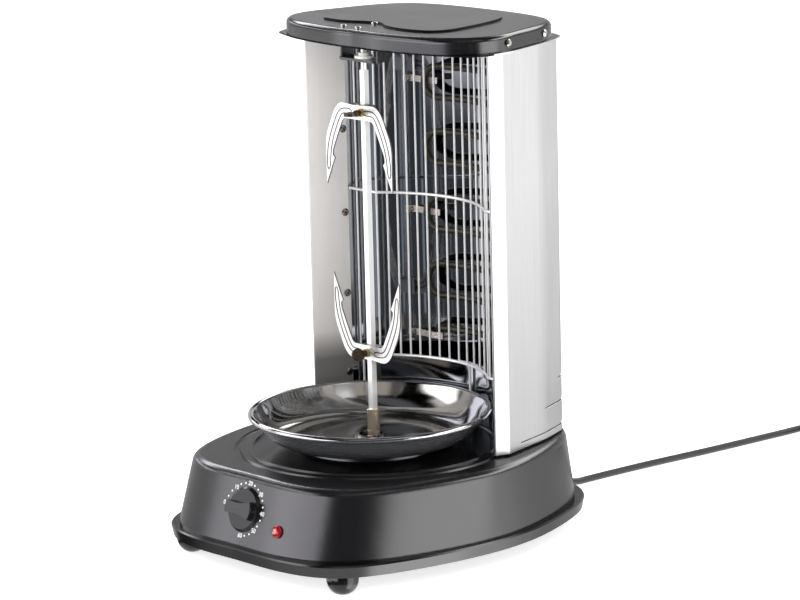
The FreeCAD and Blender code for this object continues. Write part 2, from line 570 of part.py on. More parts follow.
# supply cord: gland, down to the table, back and out, then a coil
TABLE = CORD_D / 2 + 0.05
CORD = [(END.x, END.y, END.z), (6.3, END.y + (END.z - TABLE) / math.tan(CORD_DOWN), TABLE), (8.6, 290.0, TABLE),
        (14.2, 358.0, TABLE), (23.5, 428.0, TABLE), (30.0, 500.0, TABLE), (34.5, 548.0, TABLE), (36.0, 583.0, TABLE)]
t, n1 = routed(CORD, CORD_D / 2, "cord")
write("power_cord", t)
COIL_C = (77.5, 600.0)
COIL_IN, COIL_OUT, COIL_H = 24.6, 45.4, 6.8
coil = turned([(COIL_IN + 2, 0.05), (COIL_OUT - 2, 0.05), (COIL_OUT, 2.0), (COIL_OUT, 4.9), (COIL_OUT - 2, COIL_H),
               (COIL_IN + 2, COIL_H), (COIL_IN, 4.9), (COIL_IN, 2.0)], *COIL_C)
write("cord_coil", coil)
PLUG_X0, PLUG_Y = 118.0, 646.4
write("power_cord_end", rod(CORD_D / 2, V(92.0, PLUG_Y, TABLE + 0.4), V(PLUG_X0, PLUG_Y, TABLE + 0.4)))
pb = box(PLUG_X0 + 14, PLUG_X0 + 34, PLUG_Y - 13, PLUG_Y + 13, 0.05, 15.05)
pb = pb.makeFillet(3.5, pb.Edges)
relief = Part.makeCone(4.6, 6.6, 15.0, V(PLUG_X0, PLUG_Y, TABLE + 1.4), V(1, 0, 0.18))
pb = pb.fuse(relief)
pb = pb.common(box(0, 220, 600, 700, 0.05, 30)).cut(rod(CORD_D / 2, V(PLUG_X0 - 5, PLUG_Y, TABLE + 0.4), V(PLUG_X0 + 0.01, PLUG_Y, TABLE + 0.4)))
write("plug_body", pb)
pins = []
for s in (-1, 1):
    pin = rod(2.0, V(PLUG_X0 + 34, PLUG_Y + 9.5 * s * 0.98, 7.5), V(PLUG_X0 + 52, PLUG_Y + 9.3 * s, 7.5))
    pin = pin.makeFillet(1.2, [ed for ed in pin.Edges if abs(ed.BoundBox.XMin - (PLUG_X0 + 52)) < 0.3 and ed.Curve.TypeId == "Part::GeomCircle"])
    pins.append(pin)
write("plug_pins", *pins)

# --------------------------------------------------------------------- tower
right = sheet(TOWER, TOWER_RAD, SHEET, Z_DECK + 0.02, Z_TOWER1)
# louvres pressed in low on the side and round the rear corner: lower edge, start, height
LOUVRES = [(99.0, 68.5, 5.2), (122.0, 110.5, 5.2), (144.5, 137.0, 4.6)]


def wall_strip(t, z0, z1, shift, y_from, y_to=170.0):
    """A strip of the side wall and rear corner between two heights, from y_from backwards."""
    return sheet(TOWER[1:], [0] + TOWER_RAD[2:], t, z0, z1, shift).common(box(88.0, 140.0, y_from, y_to, z0 - 1, z1 + 1))


def louvre_strip(z, y_from, h):
    """The pressed strip: flush along the top and stepping 2.6 mm in towards the bottom, closed at its front end."""
    strip = wall_strip(3.3, z - 0.2, z + h, 0.05, y_from, y_from + 1.1)
    n = 4
    for k in range(n):
        strip = strip.fuse(wall_strip(0.95 if k else 0.9, z + h * (n - 1 - k) / n - 0.2, z + h * (n - k) / n + (0.1 if k else 0.3), 0.05 + 0.65 * k, y_from))
    return strip


for z, y_from, h in LOUVRES:
    right = right.cut(wall_strip(3.0, z, z + h, -1.0, y_from))
    right = right.fuse(louvre_strip(z, y_from, h))
SCREW_Z = [130.0, 207.0, 285.0, 365.0]
WALL_D = V(TOWER[0][0] - TOWER[1][0], TOWER[0][1] - TOWER[1][1], 0).normalize()   # along the inner flange
WALL_N = V(-WALL_D.y, WALL_D.x, 0)                                               # off it, towards the meat
WALL_S = V(TOWER[0][0], TOWER[0][1], 0).sub(V(WALL_D).multiply(4.2))             # line of the reflector's screws


def wall_point(off, z):
    return WALL_S.add(V(WALL_N).multiply(off)).add(V(0, 0, z))


for z in SCREW_Z:
    right = right.cut(rod(1.6, wall_point(3, z), wall_point(-3, z)))
write("right_side_panel", right)
write("left_side_panel", mirror(right))

rear_panel = box(-83.5, 83.5, 158.05, 159.05, Z_DECK + 0.02, Z_TOWER1)
for r in range(8):
    for s in (-1, 1):
        rear_panel = rear_panel.cut(box(s * 32 - 20, s * 32 + 20, 150, 165, 390 + r * 7, 393 + r * 7))
        rear_panel = rear_panel.cut(box(s * 32 - 20, s * 32 + 20, 150, 165, 110 + r * 7, 113 + r * 7))
RS = [(s * 74.0, z) for s in (-1, 1) for z in (108.0, 225.0, 335.0, 447.0)]
for x, z in RS:
    rear_panel = rear_panel.cut(rod(1.7, V(x, 150, z), V(x, 165, z)))
write("rear_panel", rear_panel)
write("rear_screws", *[pan_head(3.2, 2.0, V(x, 159.05, z), V(0, 1, 0)).fuse(rod(1.6, V(x, 158.0, z), V(x, 159.2, z))) for x, z in RS])

# reflector: arc with a flange behind each side wall's inner face
REFL_A = 66.0
reflector = sector(0, REFL_CY, REFL_R, REFL_T, REFL_A, 93.0, 460.0)
a = math.radians(REFL_A)
for s in (-1, 1):
    E = V(REFL_R * math.sin(a), REFL_CY + REFL_R * math.cos(a), 0)
    G = E.sub(V(WALL_D).multiply(16.0))
    pts = [E, G, G.sub(V(WALL_N).multiply(REFL_T)), E.add(V(math.sin(a), math.cos(a), 0).multiply(REFL_T))]
    pts = [V(s * v.x, v.y, 93.0) for v in pts]
    fl = Part.Face(Part.makePolygon(pts + pts[:1])).extrude(V(0, 0, 367.0))
    for z in SCREW_Z:
        h = rod(1.6, wall_point(3, z), wall_point(-6, z))
        fl = fl.cut(h if s > 0 else mirror(h))
    reflector = reflector.fuse(fl)
TERM = [(1, ELEM_Z[0]), (-1, ELEM_Z[-1])]
for s, z in TERM:
    reflector = reflector.cut(rod(4.3, V(s * 45.0, 130, z), V(s * 45.0, 160, z)))
write("reflector", reflector)
rs = []
for s in (-1, 1):
    for z in SCREW_Z:
        h = pan_head(3.6, 2.4, wall_point(0.04, z), WALL_N).fuse(rod(1.5, wall_point(0.04, z), wall_point(-5.0, z)))
        rs.append(h if s > 0 else mirror(h))
write("reflector_screws", *rs)

# curved plate below the guard, standing on the deck behind the pan
GUARD_A = math.degrees(math.asin(74.0 / GUARD_R))


G_DX, G_DY = 119.2, 81.0           # the straight ends point at this spot


def guard_path(off, x_end):
    """Arc about (0, GUARD_CY) with straight ends out towards the side walls."""
    r = GUARD_R + off
    a = math.radians(GUARD_A)
    px, py = r * math.sin(a), GUARD_CY + r * math.cos(a)
    ex, ey = x_end, py + (G_DY + off - py) * (x_end - px) / (G_DX - px)
    L, A, R = V(-px, py, 0), V(0, GUARD_CY + r, 0), V(px, py, 0)
    return [Part.makeLine(V(-ex, ey, 0), L), Part.Arc(L, A, R).toShape(), Part.makeLine(R, V(ex, ey, 0))]


def guard_sheet(off, t, z0, z1):
    a, b = guard_path(off, 105.5), guard_path(off + t, 105.5)
    e = a + b
    for k in (0, -1):
        p = [v.Point for v in a[k].Vertexes if abs(abs(v.X) - 105.5) < 1e-6][0]
        q = [v.Point for v in b[k].Vertexes if abs(abs(v.X) - 105.5) < 1e-6][0]
        e.append(Part.makeLine(p, q))
    f = Part.Face(Part.Wire(Part.__sortEdges__(e)))
    f.translate(V(0, 0, z0))
    return f.extrude(V(0, 0, z1 - z0))


deflector = guard_sheet(6.0, 0.8, Z_DECK + 0.02, 149.6).fuse(guard_sheet(6.8, 3.0, 148.8, 149.6))
write("lower_deflector", deflector)
# the deck's bead is notched where the plate and the guard's legs stand on it
LEGS = [(-100.5, 82.9), (16.5, 109.6), (100.5, 82.9)]
cover = cover.cut(guard_sheet(5.5, 1.8, Z_DECK, 96.0))
for x, y in LEGS:
    cover = cover.cut(cyl(1.8, Z_DECK, 96.0, x, y))
write("base_cover", cover)

# ---------------------------------------------------------------- wire guard
def ring_bar(off, z, r):
    """A ring wire of the guard: arc with fillets into its straight ends."""
    edges = []
    rr = GUARD_R + off
    a = math.radians(GUARD_A)
    px, py = rr * math.sin(a), GUARD_CY + rr * math.cos(a)
    ex = 109.2
    ey = py + (G_DY + off - py) * (ex - px) / (G_DX - px)
    # the fillet runs from the straight end to the arc
    fr = 14.0
    d = V(ex - px, ey - py, 0)
    d.normalize()
    n = V(-d.y, d.x, 0)                      # away from the pan, to the rear
    # centre of the fillet circle: fr off the line and rr + fr from the arc's centre
    c0 = V(0, GUARD_CY, 0)
    lo, hi = 0.0, 60.0
    for _ in range(60):
        k = (lo + hi) / 2
        c = V(px, py, 0).add(V(d).multiply(k)).add(V(n).multiply(fr))
        if c.sub(c0).Length < rr + fr:
            lo = k
        else:
            hi = k
    c = V(px, py, 0).add(V(d).multiply(lo)).add(V(n).multiply(fr))
    on_line = V(px, py, 0).add(V(d).multiply(lo))
    on_arc = c0.add(c.sub(c0).normalize().multiply(rr))
    mid = c.add(on_line.sub(c).add(on_arc.sub(c)).normalize().multiply(fr))
    up = V(0, 0, z)
    E, B, M, A = V(ex, ey, 0).add(up), on_line.add(up), mid.add(up), on_arc.add(up)
    m = lambda p: V(-p.x, p.y, p.z)
    top = V(0, GUARD_CY + rr, z)
    edges = [Part.makeLine(m(E), m(B)), Part.Arc(m(B), m(M), m(A)).toShape(), Part.Arc(m(A), top, A).toShape(),
             Part.Arc(A, M, B).toShape(), Part.makeLine(B, E)]
    return tube(edges, r, m(E), m(B).sub(m(E)))


def guard_at(s):
    """Point on the guard's line, s along it from its middle."""
    arc = GUARD_R * math.radians(GUARD_A)
    if abs(s) <= arc:
        a = s / GUARD_R
        return GUARD_R * math.sin(a), GUARD_CY + GUARD_R * math.cos(a)
    a = math.radians(GUARD_A)
    px, py = GUARD_R * math.sin(a), GUARD_CY + GUARD_R * math.cos(a)
    d = V(G_DX - px, G_DY - py, 0)
    d.normalize()
    k = abs(s) - arc
    return math.copysign(px + d.x * k, s), py + d.y * k


WIRES = [-108.0, -93.2, -80.2, -70.0, -60.2, -50.4, -40.6, -30.2, -19.4, -7.6, 5.0, 17.2, 29.2, 41.0, 53.8, 66.6, 80.4, 94.0, 108.0]
guard = []
for s in WIRES:
    x, y = guard_at(s)
    guard.append(cyl(WIRE_R, Z_RING_LOW - 1.2, Z_RING_TOP + 1.0, x, y))
off = -(WIRE_R + RING_R - 0.25)
rings = [ring_bar(off, z, RING_R) for z in (Z_RING_LOW, Z_RING_MID, Z_RING_TOP)]
legs = []
for x, y in LEGS:
    legs.append(cyl(1.2, Z_DECK + 0.1, Z_RING_LOW, x, y).fuse(Part.makeSphere(1.2, V(x, y, Z_RING_LOW))))
    legs.append(rod(1.2, V(x, y, Z_RING_LOW), V(x * 0.985, y - 5.2, Z_RING_LOW)))
g = rings[0]
g = g.fuse(rings[1:] + guard + legs)
print("guard solids", len(g.Solids))
write("wire_guard", g)

# ----------------------------------------------------------- heating element
def e_at(x, z, side=1):
    return V(x, math.sqrt(ELEM_R ** 2 - x * x), z)


edges = []
n = len(ELEM_Z)
tang = V(math.sqrt(ELEM_R ** 2 - ELEM_X ** 2), -ELEM_X, 0)
tang.normalize()                                   # direction of the legs at +ELEM_X
# live end: from behind the reflector at +45, round into the top leg
z0 = ELEM_Z[0]
bx = 9.0


def end_bend(side, z):
    """From the leg's end round to the rear: corner, arc, straight."""
    a = V(side * ELEM_X, e_at(ELEM_X, z).y, z)
    t = V(side * tang.x, tang.y, 0)
    back = V(0, 1, 0)
    corner = a.add(V(t).multiply((45.0 - ELEM_X) / tang.x))
    p1, p2 = corner.sub(V(t).multiply(8.0)), corner.add(V(back).multiply(8.0))
    u, w = V(t).multiply(-1), V(back)
    ang = u.getAngle(w)
    rad = 8.0 * math.tan(ang / 2)
    m = V(u).add(w)
    m.normalize()
    mid = corner.add(m.multiply(rad / math.sin(ang / 2) - rad))
    rear = V(side * 45.0, 147.5, z)
    return a, p1, mid, p2, rear


a, p1, mid, p2, rear = end_bend(1, z0)
edges += [Part.makeLine(rear, p2), Part.Arc(p2, mid, p1).toShape(), Part.makeLine(p1, a)]
start = rear
side = 1
for i in range(n):
    z = ELEM_Z[i]
    A, B = e_at(side * ELEM_X, z), e_at(-side * ELEM_X, z)
    edges.append(Part.Arc(A, V(0, ELEM_R, z), B).toShape())
    if i < n - 1:
        z2 = ELEM_Z[i + 1]
        r = (z - z2) / 2
        t = V(-side * tang.x, tang.y, 0)
        midp = B.add(V(t).multiply(r))
        midp.z = (z + z2) / 2
        edges.append(Part.Arc(B, midp, e_at(-side * ELEM_X, z2)).toShape())
        side = -side
a, p1, mid, p2, rear = end_bend(-side, ELEM_Z[-1])
edges += [Part.makeLine(a, p1), Part.Arc(p1, mid, p2).toShape(), Part.makeLine(p2, rear)]
elem = tube(edges, ELEM_TUBE, start, V(0, -1, 0))
print("element sides", side, "valid", elem.isValid())
write("heating_element", elem)
term = []
for s, z in ((1, ELEM_Z[0]), (-side, ELEM_Z[-1])):
    bead = rod(4.1, V(s * 45.0, 147.5, z), V(s * 45.0, 151.5, z))
    pin = rod(1.2, V(s * 45.0, 151.5, z), V(s * 45.0, 156.0, z))
    tab = box(s * 45.0 - 3.1, s * 45.0 + 3.1, 155.0, 155.8, z - 2, z + 8)
    term += [bead.fuse(pin).fuse(tab)]
write("element_terminals", *term)


def refl_y(x):
    return REFL_CY + math.sqrt(REFL_R ** 2 - x * x)


clips, cscrews = [], []
for s, za, zb in ((-1, ELEM_Z[0], ELEM_Z[1]), (1, ELEM_Z[3], ELEM_Z[4]), (-1, ELEM_Z[4], ELEM_Z[5]), (1, ELEM_Z[7], ELEM_Z[8]), (-1, ELEM_Z[8] - 15, ELEM_Z[8] + 15)):
    zc = (za + zb) / 2
    if zb > za:
        zc = ELEM_Z[8] - 9.0
    xs = 74.0
    ys = refl_y(xs) - 0.1
    slope_a = math.atan2(xs, ys - REFL_CY)
    u = V(-math.cos(slope_a), math.sin(slope_a), 0)      # along the reflector towards its middle
    nrm = V(-math.sin(slope_a), -math.cos(slope_a), 0)   # off the reflector, to the front
    base_pt = V(xs, ys, 0)
    foot = [base_pt.sub(V(u).multiply(5)), base_pt.add(V(u).multiply(5))]
    r_u = (ELEM_Z[0] - ELEM_Z[1]) / 2
    grip = e_at(ELEM_X, 0).add(V(tang).multiply(r_u - 2.0))
    grip = grip.add(V(0, ELEM_TUBE + 0.6, 0))
    path = [(foot[0].x, foot[0].y), (foot[1].x, foot[1].y), (grip.x + 3.0, grip.y - 0.4), (grip.x - 9.0, grip.y + 1.6)]
    strap = sheet(path, [0, 1.5, 1.5, 0], 0.8, zc - 3.0, zc + 3.0)
    head = pan_head(2.9, 2.2, V(base_pt.x, base_pt.y, zc).add(V(nrm).multiply(0.95)), nrm)
    if s < 0:
        strap, head = mirror(strap), mirror(head)
    strap = strap.cut(elem)
    clips.append(strap)
    cscrews.append(head)
write("element_clips", *clips)
write("clip_screws", *cscrews)

# ----------------------------------------------------------------------- lid
lid_top = slab(lid, Z_SKIRT0, Z_LID1)
lid_top = lid_top.makeFillet(5.0, [ed for ed in lid_top.Edges if abs(ed.BoundBox.ZMin - Z_LID1) < 0.01])
lid_in = slab(grown(lid, -LID_T), Z_SKIRT0 - 1, Z_LID1 - LID_T)
lid_in = lid_in.makeFillet(4.4, [ed for ed in lid_in.Edges if abs(ed.BoundBox.ZMin - Z_LID1 + LID_T) < 0.01])
lid_top = lid_top.cut(lid_in)
STEP = [(-74.0, 20.0), (-62.0, 18.3), (-50.0, 18.4), (-38.0, 21.8), (-27.0, 26.6), (-16.0, 28.9), (-6.0, 27.4),
        (4.0, 20.5), (16.6, 16.0), (33.8, 14.0), (50.0, 14.9), (62.5, 18.6), (71.0, 26.0), (75.2, 38.0), (75.3, 52.0),
        (72.3, 77.0), (68.0, 97.0), (60.0, 118.0), (44.0, 131.0), (20.0, 137.0), (-8.0, 138.0), (-36.0, 135.0),
        (-58.0, 125.0), (-72.0, 106.0), (-80.0, 80.0), (-84.0, 52.0), (-82.0, 32.0)]
panel = Part.makeLoft([ring(STEP, Z_LID1 - 0.6), ring(grown(STEP, -1.6), Z_LID1 + LID_PANEL)], True, False)
lid_top = lid_top.fuse(panel)
HEADS = [(-24.7, -0.7), (-4.7, -1.4), (-13.3, 27.2)]
for x, y in HEADS:
    lid_top = lid_top.cut(cyl(1.6, Z_LID1 - 4, Z_LID1 + 3, x, y))


def skirt_point(i, t):
    (ax, ay), (bx, by) = LID[i], LID[i + 1]
    x, y = ax + (bx - ax) * t, ay + (by - ay) * t
    l = math.hypot(bx - ax, by - ay)
    return V(x, y, 0), V((by - ay) / l, -(bx - ax) / l, 0)


SKIRT = [skirt_point(11, 0.05), skirt_point(15, 0.25)]
for p, nn in SKIRT:
    for s in (-1, 1):
        lid_top = lid_top.cut(rod(1.8, V(s * (p.x - nn.x * 6), p.y - nn.y * 6, 470.6), V(s * (p.x + nn.x * 6), p.y + nn.y * 6, 470.6)))

# top plate: closes the tower and carries the lid
FL = [(0.0, 33.0), (60.0, 33.0), (112.0, 33.0), (134.4, 33.0), (134.6, 46.0), (134.0, 56.0), (131.0, 70.0),
      (127.4, 85.0), (123.8, 100.0), (119.4, 115.5), (113.0, 131.0), (106.5, 143.0), (102.8, 149.4), (100.6, 151.2),
      (89.0, 156.6), (76.0, 159.8), (50.0, 160.6), (0.0, 161.0)]
fp = [V(x, y, Z_TOWER1 + 0.02) for x, y in FL] + [V(-x, y, Z_TOWER1 + 0.02) for x, y in reversed(FL[1:-1])]
top_plate = Part.Face(Part.makePolygon(fp + fp[:1])).extrude(V(0, 0, Z_FLANGE1 - Z_TOWER1 - 0.02))
tabs = []
for p, nn in SKIRT:
    for s in (-1, 1):
        along = V(-nn.y, nn.x, 0)
        q = p.sub(V(nn).multiply(LID_T + 0.6))
        c = [q.sub(V(along).multiply(7)), q.add(V(along).multiply(7))]
        c += [c[1].sub(V(nn).multiply(1.2)), c[0].sub(V(nn).multiply(1.2))]
        pts = [V(s * v.x, v.y, Z_FLANGE1 - 0.5) for v in c]
        tab = Part.Face(Part.makePolygon(pts + pts[:1])).extrude(V(0, 0, 12.0))
        tab = tab.cut(rod(1.6, V(s * (p.x - nn.x * 6), p.y - nn.y * 6, 470.6), V(s * (p.x + nn.x * 2), p.y + nn.y * 2, 470.6)))
        top_plate = top_plate.fuse(tab.cut(lid_top))
write("top_plate", top_plate)
# the lid's lower lip in front of the top plate, set off by a fine groove, with a corner at each side
LIP = [(0.0, -13.1), (15.2, -13.7), (30.4, -13.5), (45.6, -12.0), (60.7, -10.0), (75.7, -7.5), (90.5, -3.8), (104.5, 1.2),
       (116.0, 5.6), (124.4, 9.2), (126.9, 11.6), (129.8, 17.0), (134.2, 27.0), (134.4, 32.6)]
lp = [V(x, y, Z_TOWER1 + 0.3) for x, y in LIP] + [V(-x, y, Z_TOWER1 + 0.3) for x, y in reversed(LIP[1:])]
lip = Part.Face(Part.makePolygon(lp + lp[:1])).extrude(V(0, 0, 1.2))
lip = lip.cut(slab(grown(lid, -5.0), Z_TOWER1 - 1, Z_SKIRT0))
neck = slab(grown(lid, -0.9), Z_TOWER1 + 1.3, Z_SKIRT0 + 0.3).cut(slab(grown(lid, -2.2), Z_TOWER1, Z_SKIRT0 + 1))
lid_top = lid_top.fuse(lip.fuse(neck.common(box(-140, 140, -40, 32.6, 460, 466))))
ls = []
for p, nn in SKIRT:
    for s in (-1, 1):
        d = V(s * nn.x, nn.y, 0)
        at = V(s * p.x, p.y, 470.6).add(V(d).multiply(0.12))
        ls.append(pan_head(3.6, 2.6, at, d).fuse(rod(1.5, at, at.sub(V(d).multiply(5.0)))))
        lid_top = lid_top.cut(Part.makeCylinder(3.7, 2.0, at, d))
write("lid_screws", *ls)
write("lid_cover", lid_top)

# hanging bracket for the skewer's top pin
Z_BR0, Z_BR1 = 449.6, 452.0
br = box(-25, 24, -9.5, 9.5, Z_BR0, Z_BR1)
br = br.makeFillet(5.0, [ed for ed in br.Edges if abs(ed.Vertexes[0].Z - ed.Vertexes[-1].Z) > 1])
web_l = box(-25.0, -23.4, -5.5, 9.5, Z_BR0, Z_LID1 - LID_T - 1.4)
web_r = box(22.4, 24.0, -5.5, 9.5, Z_BR0, Z_LID1 - LID_T - 1.4)
plate = box(-32, 30, -7.0, 33.0, Z_LID1 - LID_T - 1.4, Z_LID1 - LID_T - 0.02)
br = br.fuse(web_l).fuse(web_r).fuse(plate).cut(cyl(5.1, 445, 456))
for x, y in HEADS:
    br = br.cut(cyl(1.6, 470, 480, x, y))
write("bearing_bracket", br)
bb = cyl(5.05, Z_BR0 - 0.2, 457.0).fuse(cyl(8.5, Z_BR1 + 0.02, 454.2)).fuse(cyl(6.6, Z_BR0 - 0.2, Z_BR0 - 0.02)).cut(cyl(2.81, 440, 460))
write("bearing_bush", bb)
hs = []
for x, y in HEADS:
    hs.append(pan_head(3.1, 2.0, V(x, y, Z_LID1), V(0, 0, 1)).fuse(cyl(1.5, 470.0, Z_LID1 + 0.1, x, y)))
write("bracket_screws", *hs)

# leads inside the housing, clear of the motor
l1, _ = routed([(-40, 92, 44.0), (-40, 92, 56.0), (-56, 106, 66.0), (-70, 126, 78.0), (-73, 130.0, 96.0), (-76, 136, 116.0)], 1.4, "lead 1")
l2, _ = routed([(-50, 92, 44.0), (-50, 92, 54.0), (-64, 110, 64.0), (-78, 126, 78.0), (-80, 129.6, 96.0), (-84, 134, 116.0)], 1.4, "lead 2")
write("inner_leads", l1, l2)
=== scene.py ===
import bpy, bmesh, json, math
from mathutils import Vector, Matrix


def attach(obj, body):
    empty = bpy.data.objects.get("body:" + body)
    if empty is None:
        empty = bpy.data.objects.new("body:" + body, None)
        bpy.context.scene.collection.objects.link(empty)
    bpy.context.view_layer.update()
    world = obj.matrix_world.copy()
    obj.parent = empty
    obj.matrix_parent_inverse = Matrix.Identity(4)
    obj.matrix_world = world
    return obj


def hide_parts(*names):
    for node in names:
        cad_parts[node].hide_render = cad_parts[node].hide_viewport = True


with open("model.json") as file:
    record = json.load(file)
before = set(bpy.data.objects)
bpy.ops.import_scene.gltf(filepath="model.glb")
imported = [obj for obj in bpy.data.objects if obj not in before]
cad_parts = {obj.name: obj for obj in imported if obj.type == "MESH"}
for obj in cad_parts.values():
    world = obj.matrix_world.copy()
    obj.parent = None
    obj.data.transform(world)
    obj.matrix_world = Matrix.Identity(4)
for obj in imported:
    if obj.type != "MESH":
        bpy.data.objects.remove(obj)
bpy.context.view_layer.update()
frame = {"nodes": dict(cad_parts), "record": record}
nodes = frame["nodes"]
scene = bpy.context.scene
MM = 0.001


# ---------------------------------------------------------------- camera
def make_camera():
    a, e, r = math.radians(46.70), math.radians(12.37), math.radians(1.46)
    back = Vector((math.sin(a) * math.cos(e), -math.cos(a) * math.cos(e), math.sin(e)))
    right = Vector((math.cos(a), math.sin(a), 0))
    up = back.cross(right)
    x = right * math.cos(r) - up * math.sin(r)
    y = right * math.sin(r) + up * math.cos(r)
    m = Matrix(((x.x, y.x, back.x), (x.y, y.y, back.y), (x.z, y.z, back.z)))
    data = bpy.data.cameras.new("camera")
    data.sensor_width, data.lens = 36.0, 168.75
    data.clip_start, data.clip_end = 0.05, 100
    cam = bpy.data.objects.new("camera", data)
    scene.collection.objects.link(cam)
    cam.matrix_world = Matrix.Translation((2.4613, -2.2914, 0.9632)) @ m.to_4x4()
    scene.camera = cam


make_camera()
scene.view_settings.view_transform = "Standard"


# ---------------------------------------------------------------- helpers
def link(obj):
    scene.collection.objects.link(obj)
    return obj


def mesh_object(name, verts, faces, smooth=True):
    me = bpy.data.meshes.new(name)
    me.from_pydata([tuple(v) for v in verts], [], faces)
    me.update()
    if smooth:
        me.shade_smooth()
    return link(bpy.data.objects.new(name, me))


def paint(obj, material):
    obj.data.materials.clear()
    obj.data.materials.append(material)
    return obj


# ---------------------------------------------------------------- materials
class Shader:
    """A Principled material with short ways to add texture nodes."""

    def __init__(self, name, color, rough, metal=0.0, spec=None, coat=0.0, coat_rough=0.1):
        self.m = bpy.data.materials.new(name)
        self.m.use_nodes = True
        self.t = self.m.node_tree
        self.b = self.t.nodes["Principled BSDF"]
        c = tuple(color) + (1.0,) if len(color) == 3 else tuple(color)
        self.b.inputs["Base Color"].default_value = c
        self.b.inputs["Roughness"].default_value = rough
        self.b.inputs["Metallic"].default_value = metal
        if spec is not None:
            self.b.inputs["Specular IOR Level"].default_value = spec
        self.b.inputs["Coat Weight"].default_value = coat
        self.b.inputs["Coat Roughness"].default_value = coat_rough
        self.coord = None
        self.bump_last = None

    def node(self, kind, **settings):
        n = self.t.nodes.new(kind)
        for k, v in settings.items():
            setattr(n, k, v)
        return n

    def space(self, scale=(1, 1, 1), rotation=(0, 0, 0)):
        if self.coord is None:
            self.coord = self.node("ShaderNodeTexCoord")
        m = self.node("ShaderNodeMapping")
        m.inputs["Scale"].default_value = scale
        m.inputs["Rotation"].default_value = rotation
        self.t.links.new(self.coord.outputs["Object"], m.inputs["Vector"])
        return m.outputs["Vector"]

    def noise(self, scale, detail=3.0, rough=0.5, stretch=(1, 1, 1), rotation=(0, 0, 0), vector=None):
        n = self.node("ShaderNodeTexNoise")
        n.inputs["Scale"].default_value = scale
        n.inputs["Detail"].default_value = detail
        n.inputs["Roughness"].default_value = rough
        self.t.links.new(vector or self.space(stretch, rotation), n.inputs["Vector"])
        return n.outputs["Fac"]

    def ranged(self, value, a, b, lo, hi):
        n = self.node("ShaderNodeMapRange")
        n.inputs["From Min"].default_value = a
        n.inputs["From Max"].default_value = b
        n.inputs["To Min"].default_value = lo
        n.inputs["To Max"].default_value = hi
        self.t.links.new(value, n.inputs["Value"])
        return n.outputs["Result"]

    def mix(self, factor, a, b):
        n = self.node("ShaderNodeMix", data_type="RGBA")
        if hasattr(factor, "node"):
            self.t.links.new(factor, n.inputs["Factor"])
        else:
            n.inputs["Factor"].default_value = factor
        for key, v in (("A", a), ("B", b)):
            s = [i for i in n.inputs if i.name == key and i.type == "RGBA"][0]
            if hasattr(v, "node"):
                self.t.links.new(v, s)
            else:
                s.default_value = tuple(v) + (1.0,) if len(v) == 3 else tuple(v)
        return [o for o in n.outputs if o.type == "RGBA"][0]

    def math(self, op, a, b=0.0):
        n = self.node("ShaderNodeMath", operation=op)
        for i, v in enumerate((a, b)):
            if hasattr(v, "node"):
                self.t.links.new(v, n.inputs[i])
            else:
                n.inputs[i].default_value = v
        return n.outputs["Value"]

    def color(self, out):
        self.t.links.new(out, self.b.inputs["Base Color"])
        return self

    def rough(self, out):
        self.t.links.new(out, self.b.inputs["Roughness"])
        return self

    def bump(self, height, strength, distance=0.001):
        n = self.node("ShaderNodeBump")
        n.inputs["Strength"].default_value = strength
        n.inputs["Distance"].default_value = distance
        self.t.links.new(height, n.inputs["Height"])
        if self.bump_last is not None:
            self.t.links.new(self.bump_last, n.inputs["Normal"])
        self.bump_last = n.outputs["Normal"]
        self.t.links.new(self.bump_last, self.b.inputs["Normal"])
        return self


def satin_black(name, color, r0, r1, grain=1600.0, strength=0.06, spec=0.5, coat=0.0, coat_rough=0.2):
    s = Shader(name, color, (r0 + r1) / 2, 0.0, spec, coat, coat_rough)
    s.rough(s.ranged(s.noise(14.0, 3), 0.3, 0.7, r0, r1))
    dark = tuple(c * 0.8 for c in color)
    s.color(s.mix(s.noise(6.0, 2), dark, color))
    s.bump(s.noise(grain, 2), strength, 0.0002)
    return s.m


def brushed(name, color, r0, r1, stretch=(1.0, 1.0, 0.012), scale=900.0, strength=0.10, tint=0.85, tilt=(0, 0, 0), aniso=0.0, metal=1.0):
    s = Shader(name, color, (r0 + r1) / 2, metal)
    lines = s.noise(scale, 4, 0.6, stretch, tilt)
    s.rough(s.ranged(lines, 0.25, 0.75, r0, r1))
    dark = tuple(c * tint for c in color)
    s.color(s.mix(s.ranged(lines, 0.3, 0.7, 0, 1), dark, color))
    s.bump(lines, strength, 0.0002)
    s.b.inputs["Anisotropic"].default_value = aniso
    return s


def paint_shade_towards_foot(s, z0, z1, low):
    """Painted shade towards the foot: multiply the colour by low at z0, by 1 at z1."""
    if s.coord is None:
        s.coord = s.node("ShaderNodeTexCoord")
    sep = s.node("ShaderNodeSeparateXYZ")
    s.t.links.new(s.coord.outputs["Object"], sep.inputs["Vector"])
    f = s.ranged(sep.outputs["Z"], z0, z1, low, 1.0)
    n = s.node("ShaderNodeVectorMath", operation="SCALE")
    old = s.b.inputs["Base Color"].links[0]
    s.t.links.new(old.from_socket, n.inputs[0])
    s.t.links.new(f, n.inputs["Scale"])
    s.t.links.new(n.outputs["Vector"], s.b.inputs["Base Color"])
    return s


def polished(name, color, r0, r1, stretch=(1, 1, 1), scale=300.0, strength=0.02, tint=0.93, metal=1.0):
    s = Shader(name, color, (r0 + r1) / 2, metal)
    n = s.noise(scale, 3, 0.5, stretch)
    s.rough(s.ranged(n, 0.3, 0.7, r0, r1))
    s.color(s.mix(s.noise(20, 2), tuple(c * tint for c in color), color))
    s.bump(n, strength, 0.0002)
    return s


def turned(s):
    """Grain runs up the sheet: highlights spread sideways."""
    t = s.node("ShaderNodeTangent", direction_type="RADIAL", axis="Z")
    s.t.links.new(t.outputs["Tangent"], s.b.inputs["Tangent"])
    return s


